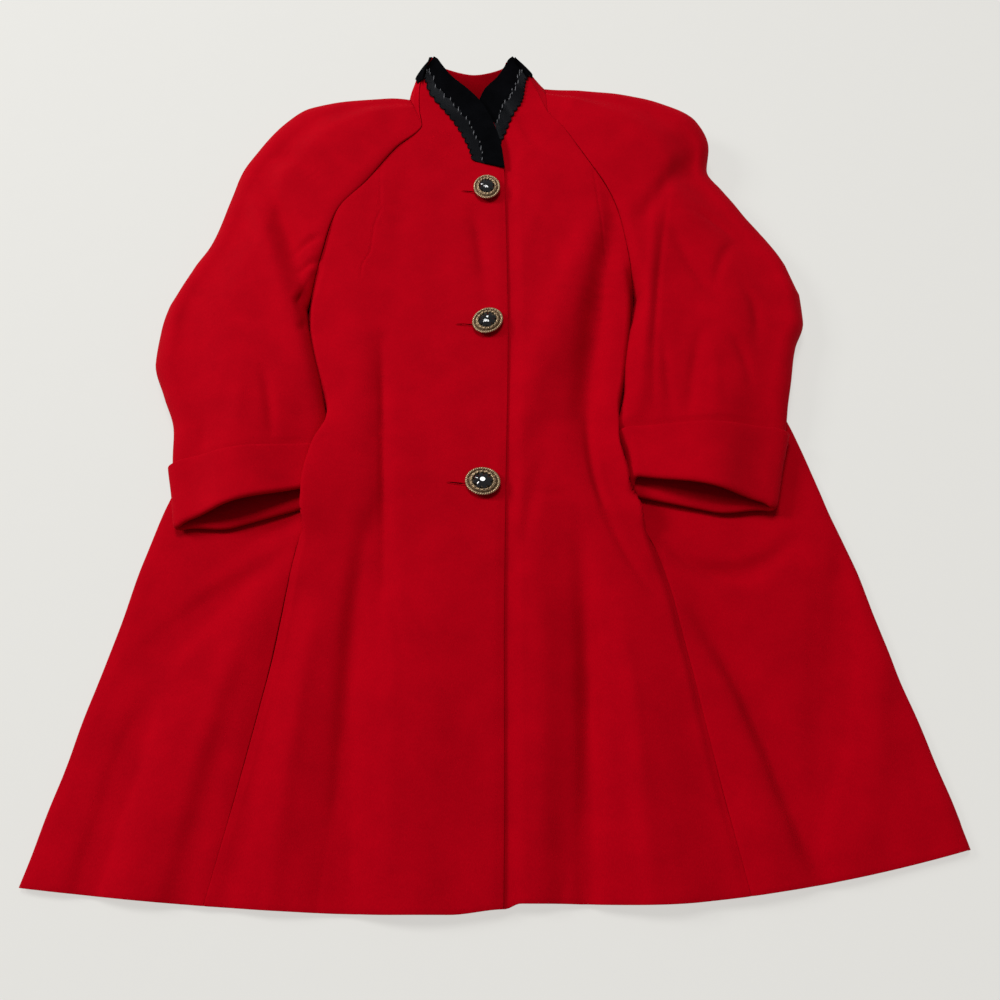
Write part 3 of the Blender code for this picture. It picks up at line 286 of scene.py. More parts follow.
# Rows of the body below the underarm: height up the coat, and how strongly the row follows the
# hem's curve and the tilt between the two underarms
bodyRows = columns(("y", "hem", "tilt"), [
    (-498, 1.0, 0.0),
    (-462, 0.9, 0.0),
    (-420, 0.75, 0.0),
    (-372, 0.6, 0.0),
    (-324, 0.45, 0.0),
    (-276, 0.3, 0.0),
    (-232, 0.18, 0.0),
    (-192, 0.08, 0.0),
    (-160, 0.0, 0.0),
    (-134, 0.0, 0.0),
    (-110, 0.0, 0.0),
    (-86, 0.0, 0.0),
    (-60, 0.0, 0.0),
    (-32, 0.0, 0.1),
    (4, 0.0, 0.3),
    (44, 0.0, 0.5),
    (82, 0.0, 0.8),
    (114, 0.0, 1.0),
])
underarmLift = 6.0       # how far a sleeve's inner fold starts above the end of the raglan seam
underarmTilt = 8.0       # rise of one underarm, and fall of the other, at half the span
ringSpan = 600.0         # width between the two places that give a row of the body its tilt
ringPast = 60.0          # how far past the middle each half of a row runs on top
hemRise = 5.0            # how much shorter the back hangs at the hem, under the fronts

# Rows of the fronts above the underarm, by their height at the raglan seam and at the front edge
frontRowPlaces = {
    "right": columns(("seamY", "edgeY"), [
        (160, 162), (186, 186), (218, 212), (247, 236), (268, 256), (286, 276),
        (306, 296), (328, 316), (357, 336), (376, 356), (394, 376), (416, 398), (438, 420),
        (458, 441), (476, 462), (491, 485),
    ]),
    "left": columns(("seamY", "edgeY"), [
        (172, 168), (200, 194), (225, 218), (250, 242), (273, 264), (304, 290),
        (331, 314), (362, 340), (392, 364), (404, 382), (416, 398), (434, 416), (452, 434),
        (468, 452), (480, 470), (491, 486),
    ]),
}

# The top edge of the stand collar behind the neck, from the right front's peak to the left one's
collarTop = columns(("share", "x", "y", "z"), [
    (0.00, -83, 494, 82),
    (0.08, -82, 497, 79),
    (0.16, -81, 499, 69),
    (0.24, -77, 501, 61),
    (0.33, -70, 500, 55),
    (0.50, -34, 494, 51),
    (0.67, 0, 499, 55),
    (0.76, 8, 501, 61),
    (0.84, 13, 499, 69),
    (0.92, 14, 497, 79),
    (1.00, 14, 494, 82),
])
collarRows = (0.0, 0.2, 0.42, 0.62, 0.82, 1.0)
collarBandFrom = 2.7     # the place in these rows at which the velvet band begins
collarMiddle = np.array([-35.0, 460.0, 42.0])      # a point inside the ring of the collar

# The velvet bands on the fronts: the neck edge and the scalloped lower edge, peak to lower end
bandColumns = ("topX", "topY", "lowX", "lowY")
bandEdges = {
    "right": columns(bandColumns, [
        (-84.5, 491.2, -100, 470.5),
        (-80, 488, -94, 467),
        (-64, 466, -88, 448),
        (-45, 450, -75, 429),
        (-27, 433, -62, 412),
        (-14, 413, -51, 394),
        (-6, 393, -42, 376),
        (1, 366, -35, 359),
        (5, 333, -31, 342),
    ]),
    "left": columns(bandColumns, [
        (16.5, 491.2, 35.5, 473.5),
        (11.5, 488, 31, 466),
        (5, 478, 29, 455),
        (-4, 464, 27, 442),
        (-14, 453, 24, 431),
        (-23, 442, 16, 417),
        (-30, 428, 9, 403),
        (-34, 414, 3, 389),
        (-36, 402, -3, 376),
    ]),
}

# Buttons from the neck down: place, and the turn of the oval's long axis from the Y axis
buttonPlaces = columns(("x", "y", "turn"), [
    (-16, 300, 0),
    (-14, 109, -45),
    (-18, -88, 80),
])


# Smooth step from 0 to 1.
def ease(value):
    value = np.clip(value, 0.0, 1.0)
    return value * value * (3.0 - 2.0 * value)


# A cubic through the points that keeps their rises and falls.
def through(xs, ys, at):
    xs = np.asarray(xs, float)
    ys = np.asarray(ys, float)
    at = np.clip(np.asarray(at, float), xs[0], xs[-1])
    step = np.diff(xs)
    rise = np.diff(ys) / step
    before = rise[:-1]
    after = rise[1:]
    same = before * after > 0.0
    total = np.where(same, before + after, 1.0)
    slope = np.concatenate([[rise[0]], np.where(same, 2.0 * before * after / total, 0.0), [rise[-1]]])
    i = np.clip(np.searchsorted(xs, at, side="right") - 1, 0, len(step) - 1)
    t = (at - xs[i]) / step[i]
    start = ys[i] * (2 * t ** 3 - 3 * t ** 2 + 1) + slope[i] * step[i] * (t ** 3 - 2 * t ** 2 + t)
    end = ys[i + 1] * (3 * t ** 2 - 2 * t ** 3) + slope[i + 1] * step[i] * (t ** 3 - t ** 2)
    return start + end


def read(table, name, at, by="y"):
    return through(table[by], table[name], at)


def rowValue(table, name, row):
    return through(np.arange(len(table[name])), table[name], row)


# How far the hem rises towards the two side corners.
def hemBow(x):
    corners = sum(rise * np.clip((way * x - start) / width, 0.0, 1.0) ** power
                  for way, rise, start, width, power in hemCorners)
    step = ease((x + frontOverlap) / 50.0) + ease((x - 4.0) / 14.0)
    return corners + hemStep * step * (1.0 - 0.5 * ease((x - 40.0) / 140.0))


# A curve from a first point to a last one that passes a middle one, at places from 0 to 1.
def curve(ends, s):
    paths = []
    for first, middle, last in (ends[0::2], ends[1::2]):
        bend = 2.0 * middle - 0.5 * (first + last)
        paths.append((1 - s) ** 2 * first + 2 * s * (1 - s) * bend + s ** 2 * last)
    return paths


# Sum of the folds, each a soft rounded valley or roll along its curve. It fades towards both ends,
# or only towards its start where it runs out at the hem.
def foldHeight(x, y):
    total = np.zeros_like(x)
    s = np.linspace(0.0, 1.0, 41)
    for *ends, width, height in bodyFolds.values():
        pathX, pathY = curve(ends, s)
        away = np.hypot(x[..., None] - pathX, y[..., None] - pathY)
        reach = 0.4 if ends[5] < foldsFromHem else 0.8
        strength = np.sin(math.pi * (0.1 + reach * s)) ** 0.7
        total += height * (strength * np.exp(-(away / width) ** 2)).max(axis=-1)
    return total


# Height of the top layer on one side of the front edge.
def halfTop(x, y, table, outward, edge, zMiddle):
    seam = read(table, "seam", y)
    zSeam = read(table, "zSeam", y)
    zCrest = read(table, "zCrest", y)
    inside = (seam - x) * outward
    across = np.abs(edge - seam)
    z = zCrest + (zMiddle - zCrest) * ease(inside / np.maximum(across, 1.0))
    z = z - (zCrest - zSeam) * (1.0 - ease(inside / crestWidth))
    beyond = underTop + (zSeam - underTop) * (1.0 - ease(-inside / read(table, "fall", y)))
    free = ease(inside / crestWidth + foldsFree["inside"])
    free = free + ease((foldsFree["below"] - y) / foldsFree["over"])
    z = np.where(inside >= 0.0, z, beyond)
    return z + foldHeight(x, y) * np.clip(free, 0.0, 1.0)


# Height of the coat's top layer, its outer face.
def bodyTop(x, y):
    x = np.asarray(x, float)
    y = np.asarray(y, float) + np.zeros_like(x)
    edge = read(middleLine, "edge", y)
    zMiddle = read(middleLine, "zMiddle", y)
    left = halfTop(x, y, leftSide, -1.0, edge, zMiddle)
    right = halfTop(x, y, rightSide, 1.0, edge, zMiddle)
    return np.maximum(np.where(x < edge, left, right), minTop)


# How far the left front lies below the right front near their overlap.
def placketDrop(x, y):
    edge = read(middleLine, "edge", y)
    neck = ease((y - neckStepStart) / placketLook["neckOver"])
    depth = placketStep + (neckStep - placketStep) * neck
    depth = depth * (1.0 - ease((y - placketLook["end"]) / placketLook["endOver"]))
    width = placketLook["over"] + placketLook["neckMore"] * neck
    return depth * (1.0 - ease((x - edge - placketLook["flat"]) / width))


def lengths(points):
    return np.concatenate([[0.0], np.cumsum(np.linalg.norm(np.diff(points, axis=0), axis=1))])


# Directions out of the cloth, in the upright plane that holds the row of points.
def normalsAlong(points, across, turn):
    tangent = np.gradient(points, axis=0)
    along = tangent[:, 0] * across[0] + tangent[:, 1] * across[1]
    size = np.maximum(np.hypot(along, tangent[:, 2]), 1e-9)
    flat = -turn * tangent[:, 2] / size
    return np.stack([flat * across[0], flat * across[1], turn * along / size], axis=1)


# Part of a row between two places along it, spread over a number of points by weight.
def cut(points, directions, weights, start, end, count):
    run = lengths(points)
    dense = np.linspace(start, end, 400)
    weight = np.interp(dense, run, weights)
    part = 0.5 * (weight[1:] + weight[:-1]) * abs(dense[1] - dense[0])
    load = np.concatenate([[0.0], np.cumsum(part)])
    places = np.interp(np.linspace(0.0, load[-1], count), load, dense)
    out = np.stack([np.interp(places, run, points[:, i]) for i in range(3)], axis=1)
    facing = np.stack([np.interp(places, run, directions[:, i]) for i in range(3)], axis=1)
    return out, facing / np.linalg.norm(facing, axis=1, keepdims=True)


# A side fold from the top layer to the floor: two quarter ellipses.
def foldArc(edge, sign, zTop, yOf):
    turn = np.linspace(0.0, math.pi / 2.0, 14)
    xUpper = edge - sign * sideRound * (1.0 - np.sin(turn))
    zUpper = sideMiddle + (zTop - sideMiddle) * np.cos(turn)
    xLower = edge - sign * sideUnder * (1.0 - np.cos(turn))
    zLower = sideMiddle * (1.0 - np.sin(turn))
    x = np.concatenate([xUpper, xLower[1:]])
    z = np.concatenate([zUpper, zLower[1:]])
    return np.stack([x, yOf(x), z], axis=1)


# Leans the flank of a front outwards over the cuff that is tucked under it.
def leanFlank(points, table, outward):
    x, y, z = points.T
    seam = read(table, "seam", y)
    inside = (seam - x) * outward
    height = ease((z - leanLook["from"]) / leanLook["rise"])
    near = 1.0 - ease((inside - crestWidth) / leanLook["width"])
    reach = read(table, "lean", y) * height * near
    points[:, 0] = x + outward * np.where(inside > 0.0, reach, 0.0)
    return points


# Distance along the ring at which its top layer passes x, on the left or right stretch.
def placeOnTop(ring, x, side):
    xs = ring["plainX"][side]
    first = 0 if side == "left" else len(ring["run"]) - len(xs)
    return float(np.interp(-x, -xs, ring["run"][first:first + len(xs)]))


# Where the two side seams cross the ring.
def ringSeams(ring):
    places = []
    for side, table in (("left", leftSide), ("right", rightSide)):
        x = -200.0 if side == "left" else 160.0
        for _ in range(4):
            x = float(read(table, "seam", ring["yOf"](x)))
        places.append(placeOnTop(ring, x, side))
    return places


# A place across a sleeve, 0 at its inner edge and 1 at its outer fold.
def sleevePoint(side, row, share):
    table = sleeveLines[side]
    inner = np.array([rowValue(table, "inX", row), rowValue(table, "inY", row)])
    if row <= underarmRow:
        inner[0] = read(halves[side][0], "seam", inner[1])
    outer = np.array([rowValue(table, "outX", row), rowValue(table, "outY", row)])
    return inner + (outer - inner) * share


# The body's row that passes through both underarms.
def underarmRing():
    left = sleevePoint("right", underarmRow, 0.0)
    right = sleevePoint("left", underarmRow, 0.0)
    slope = (right[1] - left[1]) / (right[0] - left[0])
    return bodyRing(left[1] + slope * (-ringSpan / 2 - left[0]),
                    right[1] + slope * (ringSpan / 2 - right[0]))


def frontEdgeX(side, y):
    if side == "right":
        return float(read(middleLine, "edge", y))
    if y < leftNeck["y"][0]:
        return float(read(middleLine, "edge", y)) - frontOverlap
    return float(read(leftNeck, "edge", y))


# Height of what a sleeve lies on: the flattened body, then down past its side fold.
def restHeight(side, x, y, row):
    table, outward = halves[side]
    past = (x - read(table, "side", y)) * outward
    down = (underTop + restGap) * (1.0 - ease((past - landingReach) / drapeWidth))
    height = np.where(past > -sideRound, down, bodyTop(x, y) + restGap)
    return height * np.clip((row - underarmRow + 2.0) / 2.0, 0.0, 1.0)


# Distance across a sleeve at which its lower layer has come up onto the body.
def landingPlace(side, inner, along, span, stop):
    table, outward = halves[side]
    distance = 0.5 * span
    for _ in range(3):
        y = inner[1] + along[1] * distance
        x = float(read(table, "side", y)) + outward * landingReach
        distance = min(max((x - inner[0]) / along[0], 0.0), span)
    room = 0.2 * (span - stop)
    return min(max(distance, stop + room), span - room)


# A sleeve near its mouth: how level its edge lies, how far its outer side is pressed shut, the row and
# the share of its width from which that begins and what it takes, and how far the inner fold leans
mouthLook = {"level": 0.8, "shut": 0.42, "row": 15.4, "rows": 2.4, "share": 0.6, "shares": 0.4,
             "lean": {"right": 4.5, "left": 13.0}, "leanShare": 0.12, "leanFrom": 8.0,
             "leanRise": 14.0}


# How far a sleeve's inner fold leans on the front beside it, along the sleeve.
def tubeLean(side, row):
    fade = float(ease((row - underarmRow) / 1.5) * ease((cuffRow + 0.6 - row) / 1.2))
    return mouthLook["lean"][side] * fade


# One row round a sleeve. Above the underarm it starts at the raglan seam on top, below it at the
# underarm seam beneath; it runs out over the top and back under, to the same seam.
def sleeveRow(side, row):
    table = sleeveLines[side]
    inner = sleevePoint(side, row, 0.0)
    outer = sleevePoint(side, row, 1.0)
    span = float(np.linalg.norm(outer - inner))
    along = (outer - inner) / span
    zIn, zMid, zOut, outRound, underEnd, lead = [float(rowValue(table, name, row))
                                                 for name in sleeveColumns[4:]]
    tube = row >= underarmRow
    under = sleeveUnder + 4.0 * min(max((9.0 - row) / 4.0, 0.0), 1.0)
    cuff = float(ease((row - cuffRow + 0.9) / 0.7))

    def at(distance, z, under):
        x = inner[0] + along[0] * distance
        y = inner[1] + along[1] * distance - lead * under
        return np.stack([x, y, z], axis=1)

    def lowZ(distance):
        x = inner[0] + along[0] * distance
        y = inner[1] + along[1] * distance
        return restHeight(side, x, y, row) + cuffLift * cuff

    def topZ(distance):
        middle = span * 0.5
        rising = zIn + (zMid - zIn) * ease(distance / middle)
        falling = zMid + (zOut - zMid) * ease((distance - middle) / (span - outRound - middle))
        return np.where(distance < middle, rising, falling)

    turn = np.linspace(0.0, math.pi / 2.0, 14)
    inRound = sleeveInRound + (cuffInRound - sleeveInRound) * cuff
    base = float(lowZ(np.array([under]))[0])
    edgeZ = base + 0.45 * (zIn - base)
    if row <= underarmRow:
        edgeZ = float(bodyTop(inner[:1], inner[1:])[0])
    if row == underarmRow:
        edgeZ += underarmLift
    flat = np.linspace(sleeveSeamAt, under, 8)
    lower = under * (1.0 - np.sin(turn))
    underIn = np.concatenate([
        at(flat, lowZ(flat), np.ones(8)),
        at(lower, base + (edgeZ - base) * (1.0 - np.cos(turn)), 1.0 - 0.5 * np.sin(turn))[1:],
    ])
    distance = inRound * (1.0 - np.cos(turn))
    rise = edgeZ + (topZ(distance) - edgeZ) * np.sin(turn)
    leaning = 0.5 - 0.5 * np.sin(turn) if tube else np.zeros(14)
    upperIn = at(distance, rise, leaning)
    distance = np.linspace(inRound, span - outRound, 60)
    crown = at(distance, topZ(distance), np.zeros(60))
    base = float(lowZ(np.array([span - under]))[0])
    middleZ = base + 0.42 * (zOut - base)
    distance = span - outRound * (1.0 - np.sin(turn))
    upper = at(distance, middleZ + (zOut - middleZ) * np.cos(turn), 0.5 * (1.0 - np.cos(turn)))
    distance = span - under * (1.0 - np.cos(turn))
    lower = at(distance, base + (middleZ - base) * (1.0 - np.sin(turn)), 0.5 + 0.5 * np.sin(turn))
    stop = sleeveSeamAt + seamGap if tube else underEnd * span + seamGap / 2
    landing = landingPlace(side, inner, along, span - under, stop)
    distance = np.linspace(span - under, landing, 40)
    floor = at(distance, lowZ(distance), np.ones(40))
    distance = np.linspace(landing, stop, 40)
    resting = at(distance, lowZ(distance), np.ones(40))
    stretches = [underIn, upperIn, crown, np.concatenate([upper, lower[1:]]), floor, resting]
    points = np.concatenate([stretches[0]] + [part[1:] for part in stretches[1:]])
    share = (points[:, :2] - inner) @ along / span
    near = float(ease((row - mouthLook["row"]) / mouthLook["rows"]))
    shut = ease((share - mouthLook["share"]) / mouthLook["shares"]) * near
    low = np.clip(0.5 + 0.5 * (middleZ - points[:, 2]) / max(middleZ - base, 1.0), 0.0, 1.0)
    high = ease((points[:, 2] - mouthLook["leanFrom"]) / mouthLook["leanRise"])
    leaning = (1.0 - ease(share / mouthLook["leanShare"])) * high
    points[:, :2] -= np.outer(tubeLean(side, row) * leaning, along)
    points[:, 1] += lead * low * shut * mouthLook["level"]
    points[:, 2] = base + (points[:, 2] - base) * (1.0 - mouthLook["shut"] * shut)
    facing = normalsAlong(points, along, 1.0)
    ends = np.cumsum([len(part) - 1 for part in stretches])
    run = lengths(points)
    marks = [0.0] + [run[i] for i in ends]
    points, facing = rowOf(points, facing, marks, cells["sleeveAcross"])
    if row < underarmRow:
        first = cells["sleeveAcross"][0]
        points[first, :2] += along * seamGap / 2
        for column, amount in ((first, 1.0), (first + 1, 0.5)):
            facing[column] = facing[column] * (1.0 - amount) + np.array([0.0, 0.0, amount])
        facing /= np.linalg.norm(facing, axis=1, keepdims=True)
    return points, facing


# Height of a front's outer face under its velvet band.
def bandSurface(side, x, y):
    z = bodyTop(x, y)
    if side == "left":
        z = z - placketDrop(x, y)
    return z + frontLift(side, x, y, z)


# How finely each piece is laid out, in cells
cells = {
    "bodyRows": 112,        # hem to underarm
    "chestRows": 84,        # underarm to the top of the fronts
    "flank": 24,
    "frontTop": 84,
    "seamSide": 8,
    "backTop": 34,
    "backFold": 12,
    "backFloor": 44,
    "sleeveRows": 132,
    "sleeveAcross": (8, 12, 52, 22, 20, 16),
    "collarAcross": 96,
    "collarUp": 26,
    "bandUp": 19,
}


# One row right round the body, from past the middle of the top, left, under and back: the top
# layer's height, a quarter ellipse down each side fold, and the flat floor.
def bodyRing(yLeft, yRight, hem=0.0):
    def yOf(x):
        return 0.5 * (yLeft + yRight) + (yRight - yLeft) * x / ringSpan + hem * hemBow(x)

    def top(x, table, outward):
        return leanFlank(np.stack([x, yOf(x), bodyTop(x, yOf(x))], axis=1), table, outward)

    left = float(read(leftSide, "side", yOf(-ringSpan / 2)))
    right = float(read(rightSide, "side", yOf(ringSpan / 2)))
    leftX = np.linspace(ringPast, left + sideRound, 320)
    first = top(leftX, leftSide, -1.0)
    rightX = np.linspace(right - sideRound, -ringPast, 320)
    last = top(rightX, rightSide, 1.0)
    arcLeft = foldArc(left, -1.0, first[-1, 2], yOf)
    arcRight = foldArc(right, 1.0, last[0, 2], yOf)[::-1]
    x = np.linspace(left + sideUnder, right - sideUnder, 160)
    floor = np.stack([x, yOf(x) + hemRise * hem ** 3, np.zeros_like(x)], axis=1)
    points = np.concatenate([first, arcLeft[1:], floor[1:], arcRight[1:], last[1:]])
    across = np.array([ringSpan, yRight - yLeft]) / math.hypot(ringSpan, yRight - yLeft)
    return {
        "points": points,
        "directions": normalsAlong(points, across, -1.0),
        "run": lengths(points),
        "marks": np.cumsum([len(first), len(arcLeft) - 1, len(floor) - 1, len(arcRight) - 1]) - 1,
        "plainX": {"left": leftX, "right": rightX},
        "yOf": yOf,
    }


# Rings from the hem to the underarms, close together.
def lowerRings():
    under = underarmRing()["yOf"]
    rise = underarmTilt * bodyRows["tilt"]
    place = np.linspace(0.0, len(rise), cells["bodyRows"] + 1)
    index = np.arange(len(rise) + 1)
    yLeft = through(index, np.append(bodyRows["y"] - rise, under(-ringSpan / 2)), place)
    yRight = through(index, np.append(bodyRows["y"] + rise, under(ringSpan / 2)), place)
    hem = through(index, np.append(bodyRows["hem"], 0.0), place)
    return [bodyRing(*row) for row in zip(yLeft, yRight, hem)]


# Joins stretches of a row, each cut evenly into its own number of cells.
def rowOf(points, directions, marks, counts, weights=None):
    weights = np.ones(len(points)) if weights is None else weights
    parts = [cut(points, directions, weights, start, end, count + 1)
             for start, end, count in zip(marks[:-1], marks[1:], counts)]
    return [np.concatenate([parts[0][i]] + [part[i][1:] for part in parts[1:]]) for i in (0, 1)]


# The back: round both side folds below the underarms, and flat on the floor above them, where it
# narrows between the sleeves' lower layers.
def backGrid(rings):
    fold, floor = cells["backFold"], cells["backFloor"]
    counts = (cells["seamSide"], cells["backTop"], fold, floor, fold, cells["backTop"],
              cells["seamSide"])
    rows = []
    for ring in rings:
        left, right = ringSeams(ring)
        marks = [left + seamGap / 2, left + seamSideLength] + [ring["run"][i] for i in ring["marks"]]
        marks += [right - seamSideLength, right - seamGap / 2]
        rows.append(rowOf(ring["points"], ring["directions"], marks, counts))
    first = cells["seamSide"] + cells["backTop"] + fold
    widest = rows[-1][0][first:first + floor + 1]
    share = np.linspace(0.0, 1.0, floor + 1)[:, None]
    for row in np.linspace(underarmRow, 0.0, 66)[1:]:
        near = min(row, underarmRow - 1.0)
        left = sleevePoint("right", near, float(rowValue(sleeveLines["right"], "underEnd", near)))
        right = sleevePoint("left", near, float(rowValue(sleeveLines["left"], "underEnd", near)))
        left[0] += seamGap / 2
        right[0] -= seamGap / 2
        flat = np.column_stack([left + (right - left) * share, np.zeros(floor + 1)])
        flat = flat + (widest - flat) * max(row - near, 0.0)
        points = rows[-1][0].copy()
        points[first:first + floor + 1] = flat
        rows.append([points, np.tile([0.0, 0.0, -1.0], (len(points), 1))])
    points, facing = [np.array([row[i] for row in rows]) for i in (0, 1)]
    held = np.ones((len(points) - 1, points.shape[1] - 1), bool)
    held[len(rings) - 1:, :first] = False
    held[len(rings) - 1:, first + floor:] = False
    return points, facing, held, first


# Place of each front's bust dart at a height up the coat
dartLines = {
    "right": columns(("y", "x"), [(160, -162), (191, -160), (207, -152), (246, -149), (268, -143),
                                  (328, -146), (345, -147)]),
    "left": columns(("y", "x"), [(180, 127), (206, 125), (252, 121), (294, 117), (335, 112),
                                 (361, 107), (375, 93), (384, 84)]),
}


# A front, from its side seam or raglan seam to its front edge. Its columns lie closer at the dart.
def frontGrid(side, rings):
    table, outward = halves[side]
    rows = []

    def addRow(points, facing, start, end):
        flank = min(flankLength, 0.4 * abs(end - start))
        turn = start + math.copysign(flank, end - start)
        dart = read(dartLines[side], "x", points[:, 1])
        away = (points[:, 0] - dart) / dartLook["closeWidth"]
        close = 1.0 + dartLook["close"] * np.exp(-away ** 2)
        points, facing = rowOf(points, facing, [start, turn, end], (cells["flank"], cells["frontTop"]),
                               close)
        if side == "left":
            points[:, 2] -= placketDrop(points[:, 0], points[:, 1])
        rows.append((points, facing))

    for ring in rings:
        y = float(ring["yOf"](0.0))
        place = ringSeams(ring)[0 if side == "right" else 1] + outward * seamGap / 2
        layer = "left" if side == "right" else "right"
        addRow(ring["points"], ring["directions"], place,
               placeOnTop(ring, frontEdgeX(side, y), layer))
    seamStart = float(rows[-1][0][0, 1])
    edgeStart = float(rings[-1]["yOf"](0.0))
    upper = frontRowPlaces[side]
    index = np.arange(len(upper["seamY"]) + 1)
    place = np.linspace(0.0, index[-1], cells["chestRows"] + 1)[1:]
    seamYs = through(index, np.append(seamStart, upper["seamY"]), place)
    edgeYs = through(index, np.append(edgeStart, upper["edgeY"]), place)
    share = np.linspace(0.0, 1.0, 240)
    for seamY, edgeY in zip(seamYs, edgeYs):
        seamX = float(read(table, "seam", seamY)) - outward * seamGap / 2
        edgeX = frontEdgeX(side, edgeY)
        x = seamX + (edgeX - seamX) * share
        y = seamY + (edgeY - seamY) * share
        points = np.stack([x, y, bodyTop(x, y)], axis=1)
        addRow(points, np.tile([0.0, 0.0, 1.0], (240, 1)), 0.0, lengths(points)[-1])
    return [np.array([row[i] for row in rows]) for i in (0, 1)]


# A sleeve's rows from the neck to the mouth. Between the last open row and the first whole tubes
# the rows are blended straight.
def sleeveGrid(side):
    places = np.linspace(0.0, mouthRow, cells["sleeveRows"] + 1)
    places = np.unique(np.concatenate([places, [underarmRow - 1.0, underarmRow, underarmRow + 1.0]]))
    kept = {row: sleeveRow(side, row) for row in (underarmRow - 1, underarmRow, underarmRow + 1)}
    rows = []
    for place in places:
        low = int(math.floor(place))
        if underarmRow - 1 <= place < underarmRow + 1:
            t = place - low
            rows.append([kept[low][i] * (1.0 - t) + kept[low + 1][i] * t for i in (0, 1)])
        else:
            rows.append(sleeveRow(side, float(place)))
    points, facing = [np.array([row[i] for row in rows]) for i in (0, 1)]
    facing /= np.linalg.norm(facing, axis=2, keepdims=True)
    held = np.ones((len(points) - 1, points.shape[1] - 1), bool)
    held[places[:-1] < underarmRow - 0.01, :cells["sleeveAcross"][0]] = False
    return points, facing, held, places


# Places round a sleeve near its mouth, moved out from its outer face.
def tubeRing(side, row, offset):
    points, facing = sleeveRow(side, min(row, mouthRow))
    if row > mouthRow:
        ahead = sleeveRow(side, mouthRow - 0.5)[0]
        points = points + (points - ahead) * (row - mouthRow) / 0.5
    middle = facing[0] + facing[-1]
    facing[0] = facing[-1] = middle / np.linalg.norm(middle)
    return points + facing * offset


# Profile of a turned-back cuff, from its top edge down outside the sleeve, round the mouth, a short
# way inside, and back along the sleeve's own wall: sleeve row and distance out.
def cuffProfile():
    shell = cuffShellGap
    outside = shell + cuffWall
    inside = -(woolWall + shell)
    deep = inside - cuffInnerWall
    nose = 0.5 * (outside + deep)

    def flare(row):
        return cuffFlare * float(ease((cuffRow + 0.6 - row) / 0.6))

    bend = np.linspace(0.0, math.pi, 13)
    edge = np.linspace(-math.pi / 2, math.pi / 2, 7)
    down = [(row, outside + flare(row)) for row in np.linspace(cuffRow + cuffTop, mouthRow, 20)]
    turn = [(mouthRow + cuffNose * math.sin(t), nose + (outside - nose) * math.cos(t))
            for t in bend[1:-1]]
    up = [(row, deep) for row in np.linspace(mouthRow, cuffRow + 0.5, 6)]
    back = [(row, inside) for row in np.linspace(cuffRow + 0.5, mouthRow, 6)]
    wrap = [(mouthRow + cuffTop * math.sin(t),
             0.5 * (inside + shell) - 0.5 * (shell - inside) * math.cos(t)) for t in bend[2:-2:2]]
    lining = [(row, shell + flare(row)) for row in np.linspace(mouthRow, cuffRow + cuffTop, 14)]
    middle = shell + cuffWall / 2 + flare(cuffRow)
    top = [(cuffRow + cuffTop - cuffTop * math.cos(t), middle + cuffWall / 2 * math.sin(t))
           for t in edge[1:-1]]
    return top + down + turn + up + back + wrap + lining


# Rows spread evenly through given rows by a smooth curve through four neighbours at a time.
def moreRows(grid, count, first=0.0):
    place = np.linspace(first, len(grid) - 1, count)
    i = np.clip(place.astype(int), 0, len(grid) - 2)
    t = (place - i)[:, None, None]
    ends = [grid[np.clip(i + k, 0, len(grid) - 1)] for k in (-1, 0, 1, 2)]
    a, b, c, d = ends
    a = np.where((i == 0)[:, None, None], 2 * b - c, a)
    d = np.where((i == len(grid) - 2)[:, None, None], 2 * c - b, d)
    return 0.5 * (2 * b + (c - a) * t + (2 * a - 5 * b + 4 * c - d) * t ** 2
                  + (3 * b - a - 3 * c + d) * t ** 3)


# The back of the stand collar, from the sleeves' and back's neck edges to its top edge.
def collarGrid(backEdge, sleeveEdges):
    gap = seamGap
    base = np.concatenate([sleeveEdges["right"] + [gap * 0.9, gap * 0.45, 0.0],
                           backEdge[1:-1] + [0.0, gap, 0.0],
                           sleeveEdges["left"][::-1] + [-gap, gap * 0.1, 0.0]])
    weights = np.where(base[:, 2] < 1.0, 0.45, 1.0)
    base = cut(base, base, weights, 0.0, lengths(base)[-1], cells["collarAcross"] + 1)[0]
    ends = ((0, "right", leftSide, -1.0, 2.5), (-1, "left", rightSide, 1.0, 4.0))
    for end, side, table, outward, clear in ends:
        y = base[end, 1] + clear
        x = float(read(table, "seam", y)) + outward * gap / 2
        base[end] = x, y, float(bodyTop(np.array([x]), np.array([y]))[0])
    share = lengths(base) / lengths(base)[-1]
    top = np.stack([read(collarTop, axis, share, by="share") for axis in ("x", "y", "z")], axis=1)
    rows = [base]
    for number, v in enumerate(collarRows[1:], 1):
        points = base + (top - base) * v
        for end, side, table, outward, _ in ends:
            y = frontRowPlaces[side]["seamY"][number - len(collarRows)]
            x = float(read(table, "seam", y)) + outward * gap / 2
            edge = np.array([x, y, float(bodyTop(np.array([x]), np.array([y]))[0])])
            near = 1.0 - ease(((share if end == 0 else 1.0 - share) - 0.05) / 0.3)
            points = points + (edge - points[end]) * near[:, None]
        rows.append(points)
    rows = np.array(rows)
    grid = moreRows(rows, cells["collarUp"] + 1)
    return grid, grid - collarMiddle, moreRows(rows, cells["bandUp"] + 1, collarBandFrom)


# Directions out of a grid: its surface normal, on the side of the rough directions.
def gridFacing(points, rough):
    facing = np.cross(np.gradient(points, axis=1), np.gradient(points, axis=0))
    size = np.linalg.norm(facing, axis=2, keepdims=True)
    facing = facing / np.maximum(size, 1e-9)
    if np.sum(facing * rough) < 0.0:
        facing = -facing
    return np.where(size > 1e-6, facing, rough)


